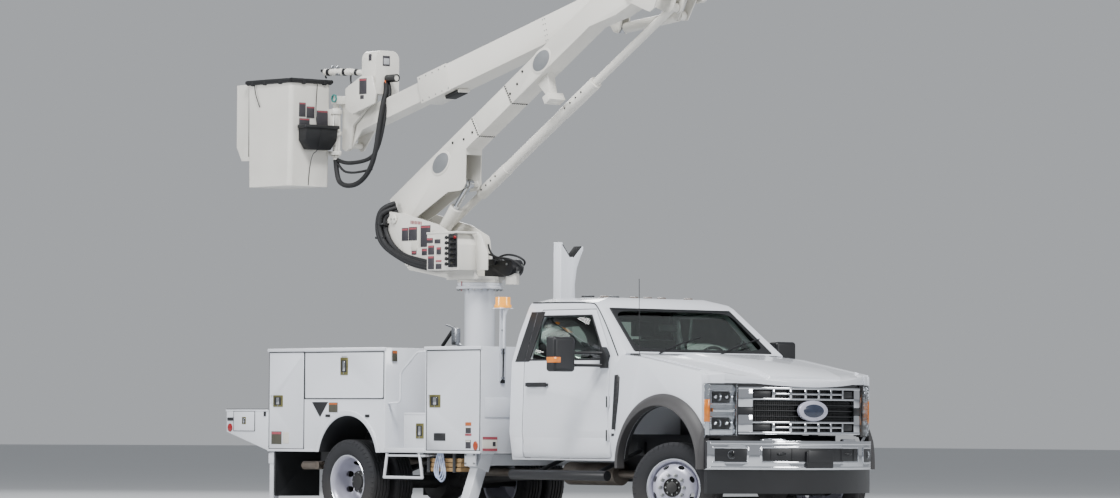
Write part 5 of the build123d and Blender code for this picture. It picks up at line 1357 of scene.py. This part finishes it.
    def labels(self):
        """Blank labels with a coloured heading."""
        tags = []
        for x0, x1, z0, z1, top, rest in ((-4565, -4432, 1052, 1144, "label_orange", "label_olive"),
                                          (-5450, -5292, 745, 868, "label_red", "label_olive"),
                                          (-5270, -5180, 752, 862, "blank_label", "blank_label"),
                                          (-2545, -2460, 930, 962, "label_orange", "label_orange"),
                                          (-2540, -2465, 862, 912, "label_olive", "label_dark"),
                                          (-2548, -2457, 838, 858, "label_red", "label_red"),
                                          (-2540, -2465, 722, 800, "blank_label", "label_dark")):
            tags.append(wear(slab((x0, -1199, z0), (x1, -1195, z1), 1), rest))
            tags.append(wear(slab((x0 + 4, -1200, z1 - (z1 - z0) * 0.22), (x1 - 4, -1198, z1 - 4), 0),
                             top))
        tags += [wear(slab((-3713, -1120, 1530), (-3709, -1060, 1630), 1), "label_olive"),
                 wear(slab((-3710, -1116, 1604), (-3707, -1064, 1626), 0), "label_orange"),
                 wear(slab((-2323, -1180, 700), (-2318, -1005, 830), 1), "blank_label"),
                 wear(slab((-2319, -1180, 806), (-2316, -1005, 830), 0), "label_red"),
                 wear(slab((-2319, -1180, 700), (-2316, -1005, 724), 0), "label_red"),
                 wear(slab((-2319, -1060, 745), (-2316, -1025, 785), 0), "label_dark")]
        bind("body_labels", "truck", "grey_plastic", *tags)

    def blocks(self):
        """Wood blocks under the body with their straps and the lashing rope."""
        timber = []
        for i in range(3):
            timber.append(wear(slab((-3190, -1120 + i * 4, 508 + i * 42), (-2700, -960, 545 + i * 42), 3),
                               "sawn_wood"))
        bind("wood_blocks", "truck", "dark_metal", *timber)
        bands = [slab((-3172, -1132, 500), (-3130, -950, 505), 1),
                 slab((-3172, -1132, 634), (-3130, -950, 639), 1),
                 slab((-3172, -1134, 500), (-3130, -1130, 676), 1),
                 slab((-2800, -1134, 500), (-2760, -1130, 676), 1),
                 slab((-2800, -1132, 500), (-2760, -950, 505), 1),
                 slab((-3172, -954, 500), (-3130, -950, 676), 1),
                 slab((-2800, -954, 500), (-2760, -950, 676), 1)]
        bind("block_straps", "truck", "rubber", *worn("strap_webbing", bands))
        rope = []
        for k in range(3):
            dx = k * 26 - 30
            rope.append(hose([(-2960 + dx, -1150, 676), (-2985 + dx, -1158, 600),
                              (-3010 + dx, -1156, 500 - k * 18), (-2950 + dx, -1160, 430 - k * 14),
                              (-2890 + dx, -1156, 500 - k * 18), (-2925 + dx, -1152, 600),
                              (-2950 + dx, -1148, 676)], 8))
        bind("lashing_rope", "truck", "rubber", *worn("rope_blue", rope))

    def cable_and_binder(self):
        """Beacon's cable and gusset, mast binder and outrigger plates."""
        cable = wear(hose([(-2326, -942, 2000), (-2300, -942, 1960), (-2318, -942, 1800),
                           (-2310, -942, 1500), (-2318, -942, 1350)], 7), "soft_rubber")
        gusset = wear(plate([(-2322, 2002), (-2252, 2002), (-2262, 1985), (-2284, 1945), (-2294, 1870),
                             (-2294, 1640), (-2322, 1640)], "Y", -950, -934, 2), "white_enamel")
        clips = [wear(slab((-2326, -962, z), (-2312, -922, z + 18), 3), "stainless")
                 for z in (1360, 1590, 1620, 1800)]
        bind("beacon_cable", "truck", "rubber", cable, gusset, *clips)
        valve = [wear(slab((-3975, -190, 1700), (-3905, -130, 1860), 8), "stainless"),
                 wear(rod((-3990, -165, 1830), (-4110, -185, 1690), 17, 4), "soft_rubber"),
                 wear(rod((-3940, -165, 1860), (-4080, -165, 1890), 9, 2), "stainless"),
                 wear(rod((-3930, -150, 1700), (-3900, -120, 1700), 14, 2), "stainless")]
        bind("mast_binder", "truck", "steel", *valve)
        legs = []
        for side in (-1, 1):
            y = side * 1118
            legs.append(wear(slab((-2640, y - 8, 560), (-2480, y + 8, 690), 4), "white_enamel"))
            for x in (-2620, -2500):
                for z in (585, 665):
                    legs.append(wear(rod((x, y + side * 6, z), (x, y + side * 18, z), 10, 2, 6), "zinc"))
        bind("outrigger_plates", "truck", "white_paint", *legs)

    def rest(self):
        """Yoke that the boom rests in."""
        web = plate([(-141, 2641), (-141, 1800), (-58, 1620), (-58, 912), (58, 912), (58, 1620),
                     (40, 2250), (64, 2400), (108, 2510), (141, 2570), (141, 2609), (112, 2609),
                     (14, 2506), (-22, 2506), (-112, 2620), (-112, 2641)], "X", -2550, -2450, 5, 3)
        foot = slab((-2620, -120, 905), (-2380, 120, 919), 3)
        yoke = bind("rest_yoke", "truck", "white_paint", wear(web, "white_enamel"),
                    wear(foot, "white_enamel"))
        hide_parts("boom_rest")
        pads = [plate([(112, 2611), (14, 2508), (16, 2500), (122, 2608)], "X", -2552, -2448, 1),
                plate([(-112, 2622), (-22, 2508), (-24, 2500), (-120, 2618)], "X", -2552, -2448, 1)]
        bind("rest_pads", "truck", "rubber", *worn("soft_rubber", pads))

    def execute(self, context):
        self.latches_and_rails()
        self.seams()
        self.sills()
        self.markers_and_lamps()
        self.labels()
        self.blocks()
        self.cable_and_binder()
        self.rest()
        return {"FINISHED"}


class TRUCK_OT_turret(Step, bpy.types.Operator):
    """Control console, hoses, motor and labels of the turntable, and the fasteners of the lower boom"""
    bl_idname = "truck.turret"
    bl_label = "Turntable fittings"

    def labels(self):
        """Blank labels of the turntable's side and of the console."""
        y = -217
        spots = ((-4695, -4598, 2706, 2830, 0), (-4590, -4465, 2706, 2836, 0),
                 (-4410, -4262, 2640, 2846, 0), (-4550, -4460, 2612, 2698, 1),
                 (-4545, -4470, 2570, 2606, 0), (-4440, -4420, 2640, 2840, 1),
                 (-4240, -4200, 2770, 2800, 1), (-4390, -4300, 2560, 2625, 0))
        tags = []
        for x0, x1, z0, z1, kind in spots:
            tags.append(wear(slab((x0, y - 3, z0), (x1, y, z1), 1), ("label_dark", "blank_label")[kind]))
            if not kind:
                tags.append(wear(slab((x0 + 6, y - 4, z1 - 24), (x1 - 6, y - 3, z1 - 8), 0), "label_red"))
        for x0, x1, z0, z1, kind in ((-4023, -3940, 2662, 2708, 1), (-3912, -3828, 2655, 2694, 0),
                                     (-4008, -3922, 2550, 2638, 1), (-3882, -3818, 2550, 2618, 1),
                                     (-4008, -3922, 2412, 2536, 1), (-3892, -3810, 2412, 2462, 0),
                                     (-3892, -3810, 2480, 2496, 2)):
            tags.append(wear(slab((x0, -456, z0), (x1, -450, z1), 1),
                             ("label_dark", "label_dark", "label_red")[kind]))
            if kind == 1:
                tags.append(wear(slab((x0 + 2, -457, z1 - 20), (x1 - 2, -455, z1 - 2), 0), "label_red"))
        bind("console_labels", "turntable", "grey_plastic", *tags)

    def console(self):
        """Console box with its lid, levers and stop button."""
        box = wear(slab((-4034, -449, 2402), (-3860, -216, 2752), 8, 3), "boom_gelcoat")
        lid = wear(slab((-4038, -454, 2744), (-3566, -216, 2764), 6, 3), "boom_gelcoat")
        plate_edge = wear(plate([(-3566, 2400), (-3400, 2400), (-3400, 2560), (-3500, 2740),
                                 (-3566, 2764)], "Y", -232, -217, 3, 2), "boom_gelcoat")
        bind("console_box", "turntable", "boom_paint", box, lid, plate_edge)
        console = [wear(slab((-3706, -460, 2425), (-3574, -449, 2740), 6), "black_plastic")]
        for i in range(6):
            z = 2450 + i * 50
            for x in (-3668, -3612):
                console.append(wear(rod((x, -458, z), (x, -500, z + 4), 15, 3, 20, 10), "black_plastic"))
                console.append(wear(lathe([(0, 0), (15, 3), (19, 12), (15, 22), (0, 26)],
                                          (x, -498, z + 4), (0, -1, 0), 24), "soft_rubber"))
            console.append(wear(rod((-3640, -460, z + 14), (-3640, -468, z + 14), 6, 1), "yellow_zinc"))
            console.append(wear(slab((-3770, -453, z - 6), (-3735, -449, z + 8), 1), "grey_label"))
        console.append(wear(rod((-3596, -455, 2706), (-3596, -478, 2706), 15, 4), "red_lens"))
        bind("console_levers", "turntable", "black_plastic", *console)
        red = [wear(slab((-4560 + i * 22, -222, 2868 - i * 2), (-4552 + i * 22, -217, 2898 - i * 2), 0),
                    "label_red") for i in range(8)]
        red.append(wear(slab((-3792, -222, 2210), (-3784, -218, 2300), 0), "label_red"))
        bind("turntable_marks", "turntable", "grey_plastic", *red)

    def motor_and_hoses(self):
        """Slewing motor with its ports and hoses, and the boom's hoses."""
        motor = [slab((-3740, 46, 2344), (-3520, 158, 2462), 10, 3),
                 rod((-3520, 100, 2410), (-3400, 100, 2410), 52, 6),
                 rod((-3400, 100, 2410), (-3330, 100, 2410), 34, 4),
                 slab((-3700, 20, 2460), (-3590, 120, 2515), 8, 3),
                 rod((-3640, 60, 2510), (-3640, 60, 2540), 18, 3),
                 rod((-3480, 60, 2460), (-3480, 60, 2500), 14, 3)]
        bind("slew_motor", "turntable", "black_plastic", *worn("black_plastic", motor))
        ports = [rod((-3335, 80, 2390), (-3290, 80, 2380), 15, 3, 6),
                 rod((-3335, 125, 2440), (-3285, 125, 2455), 15, 3, 6),
                 rod((-3420, 60, 2450), (-3420, 20, 2465), 13, 3, 6)]
        bind("motor_fittings", "turntable", "steel", *worn("zinc", ports))
        half = sizes().hose / 2
        lines = [hose([(-3660, 0, 2655), (-3640, -8, 2600), (-3560, -10, 2530), (-3450, 10, 2520),
                       (-3400, 50, 2490)], half),
                 hose([(-3290, 80, 2380), (-3240, 70, 2400), (-3250, 40, 2470), (-3400, 0, 2520),
                       (-3560, 20, 2520), (-3640, 60, 2540)], half),
                 hose([(-3285, 125, 2455), (-3230, 110, 2480), (-3300, 60, 2540), (-3480, 40, 2560),
                       (-3600, 60, 2520)], half),
                 hose([(-3600, 150, 2450), (-3650, 190, 2500), (-3800, 180, 2560), (-4000, 150, 2600)],
                      half)]
        for i in range(5):
            dy = -236 - (i % 2) * 42
            dz = (i // 2) * 42
            lines.append(hose([(-4890 + dz * 0.6, -150, 3075 - dz), (-4925, dy + 20, 3040 - dz),
                               (-4990 + dz * 0.5, dy, 2950 - dz * 0.4), (-4995 + dz, dy, 2780),
                               (-4905 + dz, dy, 2660), (-4700 + dz * 0.7, dy, 2560),
                               (-4480 + dz * 0.4, dy, 2478 + dz * 0.5), (-4250, dy, 2436 + dz * 0.6),
                               (-4090, dy, 2430 + dz * 0.5), (-4036, dy, 2440 + dz * 0.5)], 25))
        bind("turntable_hoses", "turntable", "rubber", *worn("soft_rubber", lines))
        bands = [wear(slab((-5012, -298, z), (-4890, -208, z + 24), 6), "black_plastic")
                 for z in (2730, 2860)]
        bind("hose_bands", "turntable", "black_plastic", *bands)

    def bearing(self):
        """Slewing bearing with its bolts, flanges and teeth, and the boom's pins."""
        heads = []
        for i in range(20):
            a = 2 * pi * i / 20
            heads.append((MAST_X + 214 * cos(a), 214 * sin(a), 2228))
        bearing = worn("zinc", bolts(heads, (0, 0, -1), 10, 14))
        bind("bearing_bolts", "truck", "steel", *bearing)
        flange = [lathe([(150, 0), (222, 0), (228, 5), (228, 24), (222, 28), (150, 28), (150, 0)],
                        (MAST_X, 0, 2228), (0, 0, 1), 72),
                  lathe([(150, 0), (212, 0), (216, 4), (216, 26), (150, 30), (150, 0)], (MAST_X, 0, 2262),
                        (0, 0, 1), 72)]
        bind("pedestal_flange", "truck", "white_paint", *worn("white_enamel", flange))
        teeth = lathe([(178, 0), (205, 0), (205, 10), (196, 14), (196, 24), (178, 24), (178, 0)],
                      (MAST_X, 0, 2292), (0, 0, 1), 72)
        bind("slew_ring", "truck", "steel", wear(teeth, "cast_iron"))
        pins = []
        for x, z, radius in ((-4812, 2919, 46), (-4600, 2500, 38)):
            for side in (-1, 1):
                face = (-224, 230)[side > 0]
                pins.append(wear(lathe([(0, 12), (radius - 8, 12), (radius, 8), (radius, 0), (0, 0)],
                                       (x, face, z), (0, side, 0), 40, 2), "boom_gelcoat"))
                pins += worn("zinc",
                             bolts([(x + radius * 0.5, face + side * 12, z),
                                    (x - radius * 0.5, face + side * 12, z)], (0, side, 0), 8, 7))
        bind("turntable_pins", "turntable", "boom_paint", *pins)

    def execute(self, context):
        self.labels()
        self.console()
        self.motor_and_hoses()
        self.bearing()
        return {"FINISHED"}


class TRUCK_OT_boom_fittings(Step, bpy.types.Operator):
    """Rivets, rings, bolts and pads of the booms and the link"""
    bl_idname = "truck.boom_fittings"
    bl_label = "Boom fittings"

    def lower_boom(self):
        """Rivets of the sleeve and the covers of the hand holes."""
        rivets = []
        radius = sizes().rivet / 2
        for along in (1352, 1912):
            for i in range(8):
                rise = 92 + i * 25
                for side in (-1, 1):
                    rivets += bolts([on_lower(along, rise, side * 102)], (0, side, 0), radius, 4, 12)
            for i in range(8):
                x, y, z = on_lower(along, 76, -88 + i * 25)
                rivets += bolts([(x, y, z)], (sin(LOWER_ANGLE), 0, -cos(LOWER_ANGLE)), radius, 4, 12)
                x, y, z = on_lower(along, 281, -88 + i * 25)
                rivets += bolts([(x, y, z)], (-sin(LOWER_ANGLE), 0, cos(LOWER_ANGLE)), radius, 4, 12)
        for along, rise in ((2196, 248), (2074, 187), (1942, 165), (1293, 157), (1153, 170), (998, 232)):
            for side in (-1, 1):
                rivets += bolts([on_lower(along, rise, side * 102)], (0, side, 0), 13, 7, 6)
        bind("boom_rivets", "lower_boom", "steel", *worn("hub_grease", rivets))
        rings = []
        for x, z in ((-4255, 3444), (-2785, 4350)):
            for side in (-1, 1):
                for a, b, y0, y1, name in ((152, 106, 96, 107, "boom_gelcoat"),
                                           (130, 84, 100, 108.5, "cover_grey")):
                    y0, y1 = sorted((side * y0, side * y1))
                    rings.append(wear(plate(oval(x, z, a, b, 48, LOWER_ANGLE), "Y", y0, y1, 2), name))
        bind("boom_covers", "lower_boom", "boom_paint", *rings)

    def link(self):
        """Bolts of the compression link."""
        foot = (LOWER_PIVOT[0] + 252, LOWER_PIVOT[1] - 131)
        studs = []
        for run in (770, 850, 930, 1010, 2180, 2270, 2360, 2450):
            x, z = foot[0] + run * cos(LOWER_ANGLE), foot[1] + run * sin(LOWER_ANGLE)
            studs += bolts([(x, 168 - 59, z)], (0, -1, 0), 9, 6, 12)
            studs += bolts([(x, 168 + 59, z)], (0, 1, 0), 9, 6, 12)
        bind("link_bolts", "compression_link", "steel", *worn("hub_grease", studs))

    def upper_boom(self):
        """Rest pad, collar screws and the elbow's pin caps."""
        pad = slab((-3545, -66, 62), (-3350, 66, 100), 8, 3)
        pad.matrix_world = (Matrix.Translation(at(UPPER_PIVOT[0], UPPER_Y, UPPER_PIVOT[1]))
                            @ Matrix.Rotation(-UPPER_ANGLE, 4, "Y") @ Matrix.Translation(-at(0, 0, 0)))
        bind("boom_pad", "upper_boom", "rubber", wear(settle(pad), "soft_rubber"))
        screws = []
        for along in (3400, 3500, 3600, 3700, 3800):
            for rise in (125, 345):
                for side in (-1, 1):
                    screws += bolts([on_upper(along, rise, UPPER_Y + side * 130)], (0, side, 0), 7, 4, 12)
        for along in (1885, 1915):
            for rise in (130, 180, 230, 290, 340):
                for side in (-1, 1):
                    screws += bolts([on_upper(along, rise, UPPER_Y + side * 123)], (0, side, 0), 6, 3, 12)
        bind("collar_screws", "upper_boom", "steel", *worn("zinc", screws))
        caps = []
        for x, z, y0, y1 in ((UPPER_PIVOT[0], UPPER_PIVOT[1], 226, 232), (ELBOW_X, ELBOW_Z, -130, -124)):
            side = -1 if y0 < 0 else 1
            caps.append(wear(lathe([(0, 10), (52, 10), (60, 5), (60, 0), (0, 0)],
                                   (x, y0 if side < 0 else y1, z), (0, side, 0), 40, 2), "boom_gelcoat"))
            ring = [(x + 40 * cos(a), (y0 - 10) if side < 0 else (y1 + 10), z + 40 * sin(a))
                    for a in (0, pi / 2, pi, 3 * pi / 2)]
            caps += worn("zinc", bolts(ring, (0, side, 0), 7, 6))
        bind("elbow_caps", "elbow", "boom_paint", *caps)

    def execute(self, context):
        self.lower_boom()
        self.link()
        self.upper_boom()
        return {"FINISHED"}


class TRUCK_OT_platform(Step, bpy.types.Operator):
    """Hoses, handle and labels of the platform head, and the bucket's pouch, cords and labels"""
    bl_idname = "truck.platform"
    bl_label = "Platform fittings"

    def head(self):
        """Hoses, casting, wires, tool port, control grip and labels of the platform head."""
        half = sizes().hose / 2 + 8
        dark = [hose([(-5640, 330, 4300), (-5585, 300, 4240), (-5575, 240, 4080), (-5590, 205, 3850),
                      (-5612, 190, 3627), (-5689, 182, 3444), (-5825, 178, 3330), (-5980, 176, 3290),
                      (-6130, 176, 3310), (-6210, 178, 3380), (-6236, 180, 3560)], half + 7),
                hose([(-5640, 360, 4300), (-5570, 340, 4220), (-5570, 280, 4060), (-5580, 240, 3800),
                      (-5640, 222, 3620), (-5750, 214, 3545), (-5950, 200, 3520), (-6130, 190, 3525),
                      (-6232, 184, 3568)], half + 2),
                hose([(-5700, 210, 3450), (-5800, 205, 3435), (-6000, 196, 3420), (-6160, 190, 3450),
                      (-6232, 185, 3560)], half - 6)]
        casting = wear(plate([(-6058, 4258), (-5815, 4368), (-5640, 4368), (-5575, 4200), (-5600, 4088),
                              (-5941, 3997), (-6058, 4052)], "Y", 150, 176, 8, 3), "boom_gelcoat")
        bind("head_casting", "platform_head", "boom_paint", casting)
        bind("platform_hoses", "platform_head", "rubber", *worn("soft_rubber", dark))
        orange = [wear(hose([(-5640, 316 + i * 6, 4325), (-5608, 310 + i * 6, 4292),
                             (-5604, 300 + i * 5, 4240), (-5618, 292 + i * 4, 4185)], 5), "orange_wire")
                  for i in range(4)]
        bind("platform_wires", "platform_head", "rubber", *orange)
        tube = wear(lathe([(30, 0), (39, 0), (39, 150), (36, 153), (30, 150), (30, 0)],
                          (-5642, 350, 4345), (1, 0, 0), 40), "black_plastic")
        bind("tool_port", "platform_head", "grey_plastic", tube)
        ring = wear(lathe([(30, 0), (41, 2), (41, 14), (30, 16), (30, 0)], (-6188, 124, 4165), (0, -1, 0),
                          40), "teal_plastic")
        bind("drain_ring", "platform_head", "grey_plastic", ring)
        grip = [rod((-6440, 200, 4441), (-6500, 198, 4462), 22, 6, 24, 14),
                rod((-6395, 202, 4439), (-6350, 203, 4437), 38, 4),
                rod((-6150, 211, 4430), (-6110, 212, 4428), 39, 4),
                rod((-5990, 228, 4422), (-5960, 236, 4416), 34, 4),
                hose([(-6420, 204, 4420), (-6455, 204, 4396), (-6425, 204, 4384)], 9),
                hose([(-6050, 216, 4400), (-6060, 216, 4320), (-6030, 216, 4300)], 9)]
        bind("control_grip", "platform_head", "black_plastic", *worn("black_plastic", grip))
        knobs = [wear(rod((-6330, 202, 4470), (-6330, 202, 4500), 14, 3), "stainless"),
                 wear(rod((-6250, 204, 4470), (-6250, 204, 4492), 20, 4), "stainless"),
                 wear(slab((-6240, 170, 4395), (-6190, 250, 4420), 6), "stainless"),
                 wear(rod((-5860, 250, 4560), (-5880, 250, 4560), 24, 3), "stainless")]
        bind("control_knobs", "platform_head", "steel", *knobs)
        tags = [((-5642, 290, 4470), (-5638, 380, 4570), "label_dark"),
                ((-5830, 146.5, 4190), (-5715, 151, 4345), "label_dark"),
                ((-5826, 145.5, 4322), (-5719, 147, 4338), "label_red"),
                ((-5815, 146.5, 4142), (-5758, 151, 4180), "label_dark"),
                ((-5745, 195, 4520), (-5704, 200, 4585), "label_dark"),
                ((-5638, 300, 4485), (-5635, 370, 4545), "grey_label")]
        bind("head_labels", "platform_head", "grey_plastic",
             *[wear(slab(low, high, 1), name) for low, high, name in tags])

    def bucket(self):
        """Labels, padded rim, cords, pouch rim and post clamps of the bucket."""
        signs = []
        for y0, y1, z0, z1 in ((-244, -162, 3974, 4113), (-150, -52, 3966, 4078), (-21, 116, 3870, 4044),
                               (-240, -112, 3880, 3958)):
            signs.append(wear(slab((-6294, y0, z0), (-6284, y1, z1), 1), "label_dark"))
            signs.append(wear(slab((-6286, y0 + 5, z1 - 16), (-6282.5, y1 - 5, z1 - 5), 0), "label_red"))
        bind("bucket_labels", "bucket", "grey_plastic", *signs)
        rim = [hose([(-7004, -349, 4334), (-6640, -349, 4334), (-6281, -349, 4332)], 20, 4, 2),
               hose([(-6281, -349, 4334), (-6281, 159, 4332)], 20, 4, 2),
               hose([(-6281, 159, 4334), (-7004, 159, 4332)], 20, 4, 2),
               hose([(-7004, 159, 4334), (-7004, -349, 4332)], 20, 4, 2)]
        for x, y in ((-6900, -349), (-6700, -349), (-6450, -349), (-6281, -200), (-6281, 60),
                     (-7004, -100)):
            rim.append(slab((x - 22, y - 19, 4296), (x + 22, y + 19, 4351), 6))
        bind("bucket_rim", "bucket", "rubber", *worn("soft_rubber", rim))
        cords = [hose([(-6262, -36, 4300), (-6276, -38, 4200), (-6281, -40, 3900), (-6160, -55, 3880),
                       (-6146, -66, 3850), (-6176, -80, 3640), (-6290, -100, 3600), (-6300, -112, 3300)],
                      4), hose([(-6852, -366, 4310), (-6840, -372, 4240), (-6800, -366, 4140),
                                (-6770, -362, 4080)], 5),
                 slab((-7028, -304, 3600), (-7020, -296, 4300), 1)]
        bind("bucket_cords", "bucket", "rubber", *worn("soft_rubber", cords))
        trough = slab((-6282, -270, 3858), (-6142, 158, 3892), 8, 3)
        bind("pouch_rim", "bucket", "black_plastic", wear(trough, "black_plastic"))
        clamps = [lathe([(46, -20), (58, -20), (58, 20), (46, 20), (46, -20)], (*BUCKET_POST, z),
                        (0, 0, 1), 40, 3) for z in (3625, 3820, 4030)]
        bind("post_clamps", "bucket", "boom_paint", *worn("boom_gelcoat", clamps))

    def execute(self, context):
        self.head()
        self.bucket()
        return {"FINISHED"}


class TRUCK_PT_panel(bpy.types.Panel):
    """Lists the steps that dress the truck"""
    bl_idname = "TRUCK_PT_panel"
    bl_label = "Bucket truck"
    bl_space_type = "VIEW_3D"
    bl_region_type = "UI"
    bl_category = "Truck"

    def draw(self, context):
        for group in (context.scene.truck_sizes, context.scene.truck_colours):
            for key in group.bl_rna.properties.keys():
                if key not in ("rna_type", "name"):
                    self.layout.prop(group, key)
        for step in STEPS:
            self.layout.operator(step.bl_idname)


STEPS = (TRUCK_OT_stage, TRUCK_OT_panels, TRUCK_OT_chassis, TRUCK_OT_booms, TRUCK_OT_front,
         TRUCK_OT_wheels, TRUCK_OT_face, TRUCK_OT_trim, TRUCK_OT_body_fittings,
         TRUCK_OT_turret, TRUCK_OT_boom_fittings, TRUCK_OT_platform)
CLASSES = (TruckSizes, TruckColours, *STEPS, TRUCK_PT_panel)


def register():
    for made in CLASSES:
        bpy.utils.register_class(made)
    bpy.types.Scene.truck_sizes = bpy.props.PointerProperty(type=TruckSizes)
    bpy.types.Scene.truck_colours = bpy.props.PointerProperty(type=TruckColours)


def unregister():
    del bpy.types.Scene.truck_colours
    del bpy.types.Scene.truck_sizes
    for made in reversed(CLASSES):
        bpy.utils.unregister_class(made)


def main():
    register()
    mix_paints(bpy.context.scene.truck_colours)
    for step in STEPS:
        group, name = step.bl_idname.split(".")
        getattr(getattr(bpy.ops, group), name)()


if __name__ == "__main__":
    main()
